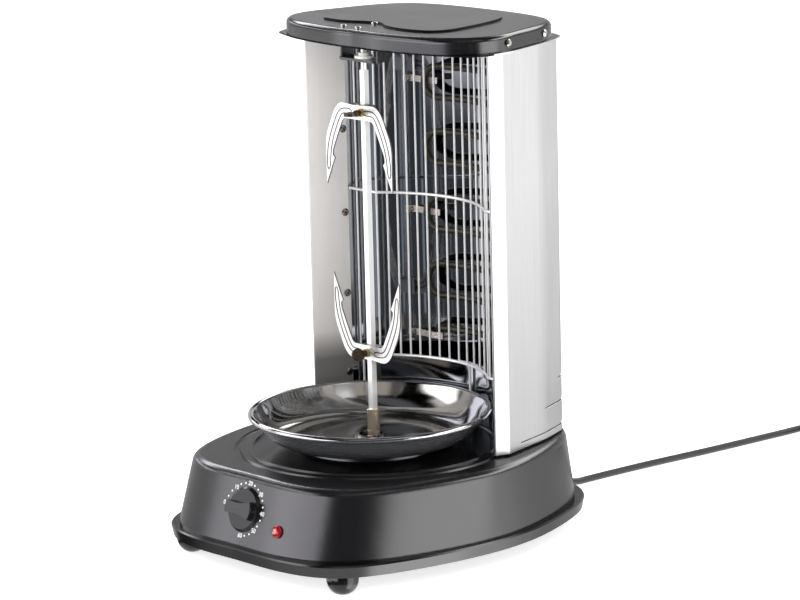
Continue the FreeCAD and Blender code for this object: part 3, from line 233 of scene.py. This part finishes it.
M = {}
M["base_black"] = satin_black("base_black", (0.0035, 0.0034, 0.0040), 0.23, 0.27, 2200.0, 0.05, 1.0)
M["tray_black"] = satin_black("tray_black", (0.0030, 0.0030, 0.0034), 0.17, 0.21, 1800.0, 0.05, 0.9)
M["lid_black"] = satin_black("lid_black", (0.0035, 0.0034, 0.0040), 0.18, 0.22, 2600.0, 0.04, 1.0)
M["foot_rubber"] = satin_black("foot_rubber", (0.0030, 0.0030, 0.0032), 0.14, 0.20, 900.0, 0.04, 0.6)
M["knob_black"] = satin_black("knob_black", (0.0032, 0.0032, 0.0036), 0.17, 0.22, 2400.0, 0.03, 0.42)
M["knob_grip"] = satin_black("knob_grip", (0.0034, 0.0034, 0.0038), 0.22, 0.28, 2400.0, 0.03, 0.60)
M["cord_black"] = satin_black("cord_black", (0.0080, 0.0080, 0.0084), 0.36, 0.44, 700.0, 0.06, 0.5)
# painted shade: the outer stainless colour darkens towards the foot
M["stainless"] = paint_shade_towards_foot(turned(brushed("stainless", (0.82, 0.82, 0.825), 0.28, 0.36, (1, 1, 0.010), 900.0, 0.10, 0.90, (0.03, 0.02, 0), 0.6)), 0.10, 0.34, 0.74).m
# painted reflection: the inner wall's colour goes dark low down, where it would mirror the dark pan and deck
M["inner_wall"] = paint_shade_towards_foot(turned(brushed("inner_wall", (0.98, 0.955, 0.925), 0.36, 0.42, (1, 1, 0.010), 900.0, 0.06, 0.95, aniso=0.88, metal=0.66)), 0.145, 0.172, 0.28).m
M["polished_sheet"] = polished("polished_sheet", (0.34, 0.355, 0.385), 0.03, 0.06, (1, 1, 0.02), 700.0, 0.03).m
M["pan_steel"] = polished("pan_steel", (0.62, 0.61, 0.60), 0.07, 0.12, (1, 1, 1), 160.0, 0.02).m
M["polished_round"] = polished("polished_round", (0.78, 0.765, 0.74), 0.10, 0.16, (1, 1, 0.05), 900.0, 0.03).m
M["fork_steel"] = polished("fork_steel", (0.86, 0.85, 0.84), 0.26, 0.34, (1, 1, 1), 420.0, 0.03, metal=0.8).m
# painted shade: near-black for the pressed beads on the steel forks
M["fork_bead_shade"] = satin_black("fork_bead_shade", (0.012, 0.010, 0.009), 0.5, 0.6, 420.0, 0.03, 0.3)
# painted shade: a darker copy of the fork steel
M["fork_shaded_edge"] = polished("fork_shaded_edge", (0.20, 0.185, 0.165), 0.22, 0.32, (1, 1, 1), 420.0, 0.03, metal=0.9).m
# near-black used only as painted shade: the lid's lip and step, the walls' feet, the screw recesses
M["painted_shade_black"] = satin_black("painted_shade_black", (0.0020, 0.0020, 0.0022), 0.55, 0.65, 900.0, 0.03, 0.1)
M["guard_wire"] = polished("guard_wire", (0.90, 0.90, 0.90), 0.15, 0.21, (1, 1, 0.05), 1200.0, 0.04, metal=0.60).m
M["screw_steel"] = polished("screw_steel", (0.66, 0.62, 0.55), 0.14, 0.22, (1, 1, 1), 900.0, 0.05).m
M["clip_steel"] = polished("clip_steel", (0.80, 0.70, 0.64), 0.20, 0.30, (1, 1, 1), 600.0, 0.05, metal=0.6).m
M["gear_steel"] = brushed("gear_steel", (0.46, 0.46, 0.45), 0.3, 0.45, (1, 1, 1), 300.0, 0.1).m
M["bush_brass"] = polished("bush_brass", (0.60, 0.46, 0.22), 0.2, 0.3, (1, 1, 1), 500.0, 0.05).m
M["plated_yellow"] = polished("plated_yellow", (0.62, 0.45, 0.20), 0.2, 0.32, (1, 1, 1), 900.0, 0.08).m
M["hub_gold"] = polished("hub_gold", (0.95, 0.80, 0.58), 0.08, 0.15, (1, 1, 0.02), 900.0, 0.08, metal=0.88).m
M["skewer_steel"] = polished("skewer_steel", (0.93, 0.93, 0.92), 0.12, 0.18, (1, 1, 0.05), 900.0, 0.03, metal=0.55).m
M["pan_outside_shade"] = polished("pan_outside_shade", (0.26, 0.265, 0.285), 0.25, 0.31, (0.03, 0.03, 2.0), 260.0, 0.006, metal=0.82).m
M["ledge_highlight"] = polished("ledge_highlight", (0.95, 0.95, 0.95), 0.30, 0.40, (1, 1, 1), 600.0, 0.04, metal=0.25).m
M["thumb_brown"] = polished("thumb_brown", (0.085, 0.060, 0.042), 0.22, 0.35, (1, 1, 1), 700.0, 0.10, metal=0.8).m
M["pin_metal"] = polished("pin_metal", (0.72, 0.70, 0.66), 0.12, 0.2, (1, 1, 1), 500.0, 0.03).m
M["inner_grey"] = satin_black("inner_grey", (0.28, 0.28, 0.28), 0.5, 0.6, 900.0, 0.05)
M["ceramic_white"] = satin_black("ceramic_white", (0.78, 0.76, 0.70), 0.25, 0.4, 700.0, 0.04)
M["lead_sleeve"] = satin_black("lead_sleeve", (0.55, 0.53, 0.47), 0.8, 0.9, 1500.0, 0.2)


def element_material():
    s = Shader("element_oxide", (0.05, 0.047, 0.036), 0.4, 0.75)
    n = s.noise(90.0, 5, 0.6)
    s.color(s.mix(s.ranged(n, 0.3, 0.7, 0, 1), (0.030, 0.029, 0.022), (0.085, 0.080, 0.055)))
    s.rough(s.ranged(s.noise(300.0, 3), 0.3, 0.7, 0.28, 0.46))
    s.bump(s.noise(900.0, 3), 0.12, 0.0003)
    return s.m


def lamp_material():
    s = Shader("lamp_red", (0.20, 0.004, 0.008), 0.10, 0.0, 0.6, 0.6, 0.05)
    s.color(s.mix(s.noise(500.0, 2), (0.12, 0.002, 0.005), (0.24, 0.006, 0.010)))
    s.bump(s.noise(350.0, 1), 0.15, 0.0004)
    return s.m


# painted highlight: pale pink for the centre of the red lens
def lamp_highlight_material():
    s = Shader("lamp_highlight_pink", (0.50, 0.09, 0.10), 0.12, 0.0, 0.6, 0.5, 0.06)
    s.color(s.mix(s.noise(700.0, 2), (0.34, 0.03, 0.04), (0.66, 0.20, 0.20)))
    s.bump(s.noise(500.0, 1), 0.2, 0.0004)
    return s.m


M["lamp_highlight_pink"] = lamp_highlight_material()
M["element_oxide"] = element_material()
M["lamp_red"] = lamp_material()

finish_of = {s["node"]: s["material_slot"] for s in frame["record"]["subparts"]}
special = {"drip_pan": "pan_steel", "drive_hub": "hub_gold", "skewer_bar": "skewer_steel"}
for name, obj in nodes.items():
    paint(obj, M[special.get(name, finish_of[name])])


# the side walls' inner flanges are the matt side of the sheet; low down their colour goes dark as painted reflection of
# the pan and deck
for side in ("left_side_panel", "right_side_panel"):
    o = nodes[side]
    o.data.materials.append(M["inner_wall"])
    sx = -1 if side.startswith("left") else 1
    for poly in o.data.polygons:
        n, c = poly.normal, poly.center
        if n.x * sx < -0.5 and c.y > 0.018:
            poly.material_index = 1


def faces_to(name, key, test):
    """Give the faces of a CAD node that pass the test(centre, normal) another material."""
    o = nodes[name]
    o.data.materials.append(M[key])
    k = len(o.data.materials) - 1
    for poly in o.data.polygons:
        if test(poly.center, poly.normal):
            poly.material_index = k


# painted shade: the lid's lower lip and the steep step round its raised panel are coloured black
faces_to("lid_cover", "painted_shade_black", lambda c, n: c.z < 0.46365 and n.z < 0.5)
faces_to("lid_cover", "painted_shade_black", lambda c, n: c.z > 0.4784 and 0.05 < n.z < 0.97 and abs(c.x) < 0.0855 and 0.0 < c.y < 0.131)
# painted reflection: the pan's downward faces take a darker steel, as if mirroring the black deck
faces_to("drip_pan", "pan_outside_shade", lambda c, n: n.z < -0.05)
# painted highlight: upward louvre ledges take a paler, mostly diffuse steel
faces_to("right_side_panel", "ledge_highlight", lambda c, n: n.z > 0.5 and 0.095 < c.z < 0.18)
faces_to("timer_knob", "knob_grip", lambda c, n: abs((c - Vector((0, -0.16996, 0.0627))).dot(Vector((0, -0.951, 0.3096)))) > 0.0042 or abs(n.x) > 0.5)
# painted shade: the forks' edge faces take the darker copy of the steel
for fork in ("upper_fork", "lower_fork"):
    faces_to(fork, "fork_shaded_edge", lambda c, n: abs(n.y) < 0.6)


# ---------------------------------------------------------------- supply cord
CORD_D = 0.0066


def cord_points():
    pts = [(6.0, 198.403, 28.628), (6.3, 234.50, 3.35), (8.6, 280.55, 3.35), (14.2, 348.55, 3.35), (23.5, 418.55, 3.35),
           (30.0, 490.55, 3.35), (34.5, 538.55, 3.35)]
    cx, cy = 77.5, 590.55
    # degrees wound clockwise from the coil's left, radius, height
    turns = [(-10, 41.5, 3.35), (60, 42.2, 3.35), (260, 41.9, 3.35), (300, 40.8, 3.35), (335, 37.6, 3.35), (372, 35.0, 3.35),
             (420, 34.9, 3.35), (640, 34.9, 3.35), (672, 33.2, 3.35), (700, 30.0, 3.35), (735, 28.1, 3.35), (800, 28.0, 3.35),
             (940, 27.9, 3.35), (985, 27.6, 5.8), (1030, 27.9, 9.6), (1060, 29.0, 10.5), (1090, 32.0, 10.3), (1120, 36.6, 10.2),
             (1145, 41.4, 10.4), (1170, 47.0, 9.6)]
    a = -6.0
    while a <= 1150.0:
        k = next(i for i in range(len(turns) - 1) if a <= turns[i + 1][0])
        (a0, r0, z0), (a1, r1, z1) = turns[k], turns[k + 1]
        f = (a - a0) / (a1 - a0)
        r, z = r0 + (r1 - r0) * f, z0 + (z1 - z0) * f
        t = math.radians(180 - a)
        pts.append((cx + r * math.cos(t), cy + r * math.sin(t), z))
        a += 24.0
    pts += [(90.0, 637.0, 8.2), (100.0, 637.2, 5.2), (109.0, 637.0, 3.9), (118.0, 636.9, 3.9)]
    return [Vector(p) * MM for p in pts]


def make_cord():
    cd = bpy.data.curves.new("supply_cord", "CURVE")
    cd.dimensions = "3D"
    cd.bevel_depth = CORD_D / 2
    cd.bevel_resolution = 6
    cd.resolution_u = 10
    sp = cd.splines.new("NURBS")
    pts = cord_points()
    sp.points.add(len(pts) - 1)
    for p, c in zip(sp.points, pts):
        p.co = (c.x, c.y, c.z, 1)
    sp.order_u = 3
    sp.use_endpoint_u = True
    obj = link(bpy.data.objects.new("supply_cord", cd))
    cd.materials.append(M["cord_black"])
    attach(obj, "base")
    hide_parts("power_cord", "cord_coil", "power_cord_end")


make_cord()


# ---------------------------------------------------------------- black strips under the tower walls: painted shade at their feet
def make_wall_foot_shade(name, sx):
    """A thin black strip following the foot of the side wall, as painted shade where the wall meets the deck."""
    o = nodes["right_side_panel" if sx > 0 else "left_side_panel"]
    low = {}
    for v in o.data.vertices:
        if abs(v.co.z - 0.09212) < 0.0004:
            low[(round(v.co.x, 4), round(v.co.y, 4))] = v.co.copy()
    edges = []
    for e in o.data.edges:
        a, b = (o.data.vertices[i].co for i in e.vertices)
        if abs(a.z - 0.09212) < 0.0004 and abs(b.z - 0.09212) < 0.0004 and (a - b).length > 1e-5:
            edges.append((a.copy(), b.copy()))
    verts, faces = [], []
    for poly in o.data.polygons:
        # wall faces that stand on the deck
        pts = [o.data.vertices[i].co for i in poly.vertices]
        foot = [p for p in pts if abs(p.z - 0.09212) < 0.0004]
        if abs(poly.normal.z) < 0.2 and len(foot) == 2 and poly.normal.x * sx > -0.2:
            n = Vector((poly.normal.x, poly.normal.y, 0)).normalized() * 0.00045
            a, b = foot
            k = len(verts)
            verts += [a + n, b + n, b + n + Vector((0, 0, 0.0017)), a + n + Vector((0, 0, 0.0017)),
                      a - n * 0.2, b - n * 0.2, b - n * 0.2 + Vector((0, 0, 0.0017)), a - n * 0.2 + Vector((0, 0, 0.0017))]
            faces += [(k, k + 1, k + 2, k + 3), (k + 3, k + 2, k + 6, k + 7), (k, k + 3, k + 7, k + 4), (k + 1, k + 5, k + 6, k + 2)]
    obj = mesh_object(name, verts, faces, smooth=False)
    paint(obj, M["painted_shade_black"])
    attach(obj, "base")


make_wall_foot_shade("right_wall_foot_shade", 1)
make_wall_foot_shade("left_wall_foot_shade", -1)


# ---------------------------------------------------------------- pressed beads on the forks, coloured near-black as painted shade
ARM = [(9.5, 7.0), (17.0, 7.0), (21.2, 7.9), (24.6, 11.0), (28.6, 18.2), (32.4, 26.0), (35.8, 34.2), (38.0, 41.5), (39.2, 48.5), (39.9, 55.0), (40.3, 62.0)]


def bead_loop(half):
    """Closed loop of that half width round the arm's middle line, as (x, h) points."""
    n, left, rgt = len(ARM), [], []
    for i, (x, h) in enumerate(ARM):
        ax, ah = ARM[max(i - 1, 0)]
        bx, bh = ARM[min(i + 1, n - 1)]
        l = math.hypot(bx - ax, bh - ah)
        nx, nh = -(bh - ah) / l, (bx - ax) / l
        w = half * (0.75 if i == n - 1 else 1.0)
        left.append((x + nx * w, h + nh * w))
        rgt.append((x - nx * w, h - nh * w))
    return left + [(40.5, 64.0)] + rgt[::-1] + [(7.6, 7.0)]


def make_beads(name, body, x0, z0, flip):
    cd = bpy.data.curves.new(name, "CURVE")
    cd.dimensions = "3D"
    cd.bevel_depth = 0.00052
    cd.bevel_resolution = 3
    cd.resolution_u = 6
    for face in (-6.17, -4.83):
        for sx in (-1, 1):
            sp = cd.splines.new("NURBS")
            loop = bead_loop(2.25)
            sp.points.add(len(loop) - 1)
            for pt, (x, h) in zip(sp.points, loop):
                pt.co = ((x0 + sx * x) * MM, (face - 9.45) * MM, (z0 + (-h if flip else h)) * MM, 1)
            sp.order_u = 3
            sp.use_cyclic_u = True
    obj = link(bpy.data.objects.new(name, cd))
    cd.materials.append(M["fork_bead_shade"])
    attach(obj, body)


make_beads("upper_fork_beads", "upper_fork", -3.6, 409.6, True)
make_beads("lower_fork_beads", "lower_fork", 1.8, 172.4, False)


# ---------------------------------------------------------------- small fittings
def islands(obj):
    """Vertex groups of a mesh's separate parts, as lists of coordinates."""
    me = obj.data
    root = list(range(len(me.vertices)))

    def find(i):
        while root[i] != i:
            root[i] = root[root[i]]
            i = root[i]
        return i

    seen = {}
    for v in me.vertices:
        k = (round(v.co.x, 6), round(v.co.y, 6), round(v.co.z, 6))
        if k in seen:
            root[find(v.index)] = find(seen[k])
        else:
            seen[k] = v.index
    for e in me.edges:
        a, b = find(e.vertices[0]), find(e.vertices[1])
        if a != b:
            root[a] = b
    out = {}
    for v in me.vertices:
        out.setdefault(find(v.index), []).append(v.co.copy())
    return list(out.values())


def add_box(verts, faces, centre, ux, uy, uz, hx, hy, hz):
    k = len(verts)
    for sz in (-1, 1):
        for sy in (-1, 1):
            for sx in (-1, 1):
                verts.append(centre + ux * (sx * hx) + uy * (sy * hy) + uz * (sz * hz))
    for f in ((0, 2, 3, 1), (4, 5, 7, 6), (0, 1, 5, 4), (2, 6, 7, 3), (0, 4, 6, 2), (1, 3, 7, 5)):
        faces.append(tuple(k + i for i in f))


def head_of(pts, out):
    """Outer face centre and radius of a screw whose head looks along out."""
    top = max(p.dot(out) for p in pts)
    rim = [p for p in pts if p.dot(out) > top - 0.0012]
    c = sum(rim, Vector()) / len(rim)
    c = c + out * (top - c.dot(out))
    near = [p for p in pts if p.dot(out) > top - 0.0022]
    r = max(((p - c) - out * (p - c).dot(out)).length for p in near)
    return c, r


def recess_shade_crosses(name, node, body, outward, turn=20.0, size=0.55):
    """Dark crosses as painted shade in the cross recess of each screw head of the node."""
    verts, faces = [], []
    for pts in islands(nodes[node]):
        mid = sum(pts, Vector()) / len(pts)
        out = outward(mid).normalized()
        c, r = head_of(pts, out)
        u = out.cross(Vector((0, 0, 1)))
        u = u.normalized() if u.length > 0.1 else Vector((1, 0, 0))
        w = out.cross(u)
        a = math.radians(turn + 37.0 * (len(verts) % 5))
        p, q = u * math.cos(a) + w * math.sin(a), w * math.cos(a) - u * math.sin(a)
        add_box(verts, faces, c - out * 0.0003, p, q, out, r * size, r * 0.13, 0.00036)
        add_box(verts, faces, c - out * 0.0003, q, p, out, r * size, r * 0.13, 0.00036)
    obj = mesh_object(name, verts, faces, smooth=False)
    paint(obj, M["painted_shade_black"])
    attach(obj, body)


def wall_out(mid):
    """The reflector's screws sit on the inner flanges and look across the tower."""
    s = 1 if mid.x > 0 else -1
    return Vector((-s * math.cos(math.radians(13)), -math.sin(math.radians(13)), 0))


recess_shade_crosses("reflector_screw_recess_shade", "reflector_screws", "base", wall_out)


def saddle():
    """The upper fork's folded ears on both sides of the bar."""
    verts, faces = [], []
    for a, b, z0 in ((-9.4, -4.4, 410.6), (4.4, 10.8, 410.5)):
        for k, (x0, x1) in enumerate(((a, b),)):
            c = Vector(((x0 + x1) / 2, -3.4 - 9.45, z0 - 0.3)) * MM
            add_box(verts, faces, c, Vector((1, 0, 0)), Vector((0, 1, 0)), Vector((0, 0, 1)), (x1 - x0) / 2 * MM, 2.4 * MM, 0.35 * MM)
    obj = mesh_object("upper_fork_ears", verts, faces, smooth=False)
    # painted shade: the ears take the darker copy of the fork steel
    paint(obj, M["fork_shaded_edge"])
    mod = obj.modifiers.new("soft", "BEVEL")
    mod.width, mod.segments = 0.0002, 2
    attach(obj, "upper_fork")


saddle()


# ---------------------------------------------------------------- dial
WALL_T = math.atan2(19.5, 92.1 - 32.2)
WALL_N = Vector((0, -math.cos(WALL_T), math.sin(WALL_T)))
WALL_UP = Vector((0, math.sin(WALL_T), math.cos(WALL_T)))


def on_wall(x, z, h=0.0):
    y = -170.45 + 19.5 * (z - 32.2) / (92.1 - 32.2)
    return (Vector((x, y - 9.45, z)) + WALL_N * h) * MM


DIAL = on_wall(0, 62.7)


def print_material():
    s = Shader("white_print", (0.80, 0.80, 0.79), 0.45)
    s.color(s.mix(s.noise(900, 2), (0.70, 0.70, 0.69), (0.82, 0.82, 0.81)))
    return s.m


M["white_print"] = print_material()


def flat_text(name, text, size, at):
    cu = bpy.data.curves.new(name, "FONT")
    cu.body = text
    cu.size = size
    cu.align_x, cu.align_y = "CENTER", "CENTER"
    cu.extrude = 0.00004
    cu.resolution_u = 6
    tmp = link(bpy.data.objects.new(name + "_tmp", cu))
    x = Vector((1, 0, 0))
    m = Matrix(((x.x, WALL_UP.x, WALL_N.x), (x.y, WALL_UP.y, WALL_N.y), (x.z, WALL_UP.z, WALL_N.z))).to_4x4()
    tmp.matrix_world = Matrix.Translation(at) @ m
    bpy.context.view_layer.update()
    me = bpy.data.meshes.new_from_object(tmp.evaluated_get(bpy.context.evaluated_depsgraph_get()))
    me.transform(tmp.matrix_world)
    bpy.data.objects.remove(tmp)
    me.name = name
    return me


def make_dial():
    bm = bmesh.new()
    for i in range(19):
        a = math.radians(176.0 - i * 14.71)
        r = (27.4, 25.4, 24.6)[i] if i < 3 else 23.8
        at = DIAL + (Vector((1, 0, 0)) * math.cos(a) + WALL_UP * math.sin(a)) * r * MM
        hit, spot, nor, idx = nodes["base_cover"].ray_cast(at + WALL_N * 0.006, -WALL_N)
        at = (spot if hit else at) + WALL_N * 0.00007
        if i % 3 == 0:
            me = flat_text("n%d" % i, str(i // 3 * 10), 0.0058, at)
            bm.from_mesh(me)
        else:
            m = Matrix(((1, 0, 0), tuple(WALL_UP), tuple(WALL_N))).transposed().to_4x4()
            bmesh.ops.create_circle(bm, cap_ends=True, segments=20, radius=0.00085, matrix=Matrix.Translation(at + WALL_N * 0.00004) @ m)
    me = bpy.data.meshes.new("dial_marks")
    bm.to_mesh(me)
    bm.free()
    obj = link(bpy.data.objects.new("dial_marks", me))
    paint(obj, M["white_print"])
    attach(obj, "base")


make_dial()


def lamp_dressing():
    """Faceted cap over the lens."""
    at = on_wall(47.5, 51.4, 0.0)
    x = Vector((1, 0, 0))
    o = nodes["lamp_lens"]
    top = max((v.co - at).dot(WALL_N) for v in o.data.vertices)
    bm = bmesh.new()
    rings = [(3.7, top / MM - 1.1), (2.3, top / MM - 0.25), (0.9, top / MM + 0.06)]
    loops = []
    for r, h in rings:
        loops.append([bm.verts.new(at + (x * math.cos(t) + WALL_UP * math.sin(t)) * r * MM + WALL_N * h * MM)
                      for t in (math.radians(22.5 + 45 * i) for i in range(8))])
    for a, b in zip(loops, loops[1:]):
        for i in range(8):
            j = (i + 1) % 8
            bm.faces.new((a[i], a[j], b[j], b[i]))
    bm.faces.new(loops[-1])
    me = bpy.data.meshes.new("lamp_facets")
    bm.to_mesh(me)
    bm.free()
    cap = link(bpy.data.objects.new("lamp_facets", me))
    # painted highlight: the pale pink cap stands in for the lens's centre highlight
    paint(cap, M["lamp_highlight_pink"])
    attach(cap, "base")


lamp_dressing()


# ---------------------------------------------------------------- studio
def make_floor():
    bm = bmesh.new()
    bmesh.ops.create_grid(bm, x_segments=1, y_segments=1, size=30)
    me = bpy.data.meshes.new("floor")
    bm.to_mesh(me)
    bm.free()
    obj = link(bpy.data.objects.new("floor", me))
    obj.location.z = -0.0002
    s = Shader("floor_white", (0.86, 0.86, 0.86), 0.9)
    s.b.inputs["Emission Color"].default_value = (1, 1, 1, 1)
    s.b.inputs["Emission Strength"].default_value = 0.70
    paint(obj, s.m)
    obj.visible_glossy = False


def make_dome():
    """Studio seen in reflections only: soft boxes as (azimuth from, to, elevation from, to, softness, strength, colour)."""
    bm = bmesh.new()
    bmesh.ops.create_uvsphere(bm, u_segments=96, v_segments=48, radius=14)
    bmesh.ops.reverse_faces(bm, faces=bm.faces)
    me = bpy.data.meshes.new("studio")
    bm.to_mesh(me)
    bm.free()
    me.shade_smooth()
    obj = link(bpy.data.objects.new("studio", me))
    m = bpy.data.materials.new("studio")
    m.use_nodes = True
    t = m.node_tree
    t.nodes.clear()
    out = t.nodes.new("ShaderNodeOutputMaterial")
    em = t.nodes.new("ShaderNodeEmission")
    tc = t.nodes.new("ShaderNodeTexCoord")
    sep = t.nodes.new("ShaderNodeSeparateXYZ")
    norm = t.nodes.new("ShaderNodeVectorMath")
    norm.operation = "NORMALIZE"
    t.links.new(tc.outputs["Object"], norm.inputs[0])
    t.links.new(norm.outputs["Vector"], sep.inputs["Vector"])

    def mth(op, a, b=0.0, c=0.0):
        n = t.nodes.new("ShaderNodeMath")
        n.operation = op
        for i, v in enumerate((a, b, c)):
            if hasattr(v, "node"):
                t.links.new(v, n.inputs[i])
            else:
                n.inputs[i].default_value = v
        return n.outputs["Value"]

    def step(v, a, b):
        n = t.nodes.new("ShaderNodeMapRange")
        n.interpolation_type = "SMOOTHSTEP"
        n.inputs["From Min"].default_value = a
        n.inputs["From Max"].default_value = b
        n.inputs["To Min"].default_value = 0.0
        n.inputs["To Max"].default_value = 1.0
        t.links.new(v, n.inputs["Value"])
        return n.outputs["Result"]

    x, y, z = sep.outputs["X"], sep.outputs["Y"], sep.outputs["Z"]
    az = mth("MULTIPLY", mth("ARCTAN2", x, mth("MULTIPLY", y, -1.0)), 180 / math.pi)
    turn = mth("MODULO", mth("ADD", az, 360.0), 360.0)          # 0 = front, 180 = behind
    el = mth("MULTIPLY", mth("ARCSINE", z), 180 / math.pi)

    total = None
    for a0, a1, e0, e1, sa, se, k, col in STUDIO:
        # azimuths count from the front, + to the right; a range may pass behind at 180
        v = az if a0 >= -180 + sa and a1 <= 180 - sa else turn
        f = mth("MULTIPLY", step(el, e0 - se, e0 + se), mth("SUBTRACT", 1.0, step(el, e1 - se, e1 + se)))
        if sa > 0:
            f = mth("MULTIPLY", f, mth("MULTIPLY", step(v, a0 - sa, a0 + sa), mth("SUBTRACT", 1.0, step(v, a1 - sa, a1 + sa))))
        sc = t.nodes.new("ShaderNodeVectorMath")
        sc.operation = "SCALE"
        sc.inputs[0].default_value = tuple(c * k for c in col)
        t.links.new(f, sc.inputs["Scale"])
        if total is None:
            total = sc.outputs["Vector"]
        else:
            ad = t.nodes.new("ShaderNodeVectorMath")
            ad.operation = "ADD"
            t.links.new(total, ad.inputs[0])
            t.links.new(sc.outputs["Vector"], ad.inputs[1])
            total = ad.outputs["Vector"]
    t.links.new(total, em.inputs["Color"])
    em.inputs["Strength"].default_value = 1.0
    t.links.new(em.outputs["Emission"], out.inputs["Surface"])
    m.cycles.emission_sampling = "NONE"
    paint(obj, m)
    obj.visible_camera = False
    obj.visible_diffuse = False
    obj.visible_shadow = False
    obj.visible_transmission = False
    obj.visible_volume_scatter = False


WHITE, SOFT, COOL, WARM = (1, 1, 1), (0.99, 0.965, 1.03), (0.84, 0.91, 1.0), (1.0, 0.90, 0.80)
STUDIO = [
    # large box in front on the left, and the room above it
    (-50, 11, -6.5, 18, 8, 2, 3.1, SOFT),
    (-92, -36, -17, -7, 5, 2, 1.7, WHITE),
    (-100, -54, -7, 18, 8, 3, 0.55, WHITE),
    (-102, -57, 12.5, 18.5, 6, 1.5, 3.6, SOFT),
    (-62, -14, 25, 38, 6, 3, 3.0, WHITE),
    (-66, -40, 38, 48, 6, 4, 0.7, WHITE),
    (-112, -80, 43, 52, 8, 3, 1.5, WHITE),
    # bright slot behind the dark band: the lit line along every top edge
    (-128, -86, 28, 35.5, 4, 1.5, 8.5, SOFT),
    # boxes on the right and behind: the pale side of the tower
    (83, 124, -60, 16, 6, 5, 2.9, WHITE),
    (124, 146, -60, 16, 8, 5, 1.6, WHITE),
    (146, 165, -60, 16, 8, 5, 0.95, WHITE),
    (165, 184, -60, 16, 8, 5, 0.62, WHITE),
    (118, 214, 27, 42, 8, 4, 4.5, WHITE),
    # pale wall behind on the left, fading upwards
    (184, 262, -30, 10, 10, 2, 0.66, WHITE),
    (184, 262, 10, 16, 10, 1, 0.58, WHITE),
    # dim room in front on the right, with a few upright bright edges
    (-36, 83, -28, -7, 5, 3, 0.085, COOL),
    (11, 80, -7, 36, 5, 4, 0.06, COOL),
    (-14, -12.6, -24, -7, 0.8, 3, 0.9, COOL),
    (17, 18.4, -24, -7, 0.8, 3, 0.5, COOL),
    (36, 37.2, -24, -7, 0.8, 3, 0.5, COOL),
    (58, 63, -24, -7, 2.0, 3, 0.50, COOL),
    # what the pan sees above: a warm wall on the right, a window, a dark ceiling
    (20, 68, 38, 57, 8, 4, 0.45, WARM),
    (70, 104, 43, 60, 8, 5, 0.95, WHITE),
    (-180, 180, 62, 95, 0, 4, 0.12, COOL),
    # table
    (-180, 180, -95, -31, 0, 5, 1.0, WHITE),
]


def make_world():
    w = bpy.data.worlds.new("world")
    scene.world = w
    w.use_nodes = True
    bg = w.node_tree.nodes["Background"]
    bg.inputs["Color"].default_value = (1, 1, 1, 1)
    bg.inputs["Strength"].default_value = 1.0   # white backdrop


def make_lights():
    def area(name, loc, target, size, power, color=(1, 1, 1)):
        d = bpy.data.lights.new(name, "AREA")
        d.shape = "RECTANGLE"
        d.size, d.size_y = size
        d.energy = power
        d.color = color
        o = link(bpy.data.objects.new(name, d))
        o.location = loc
        o.rotation_mode = "QUATERNION"
        o.rotation_quaternion = (Vector(target) - Vector(loc)).to_track_quat("-Z", "Y")
        o.visible_glossy = False
        return o
    area("key", (2.0, -1.9, 1.6), (0, 0, 0.3), (1.6, 1.6), 66, (1.0, 0.985, 0.97))
    area("fill", (-2.2, -1.6, 2.0), (0, 0, 0.2), (1.8, 1.8), 22)
    area("top", (0.2, 0.1, 3.0), (0, 0, 0.2), (2.2, 2.2), 30)


make_floor()
make_dome()
make_world()
make_lights()
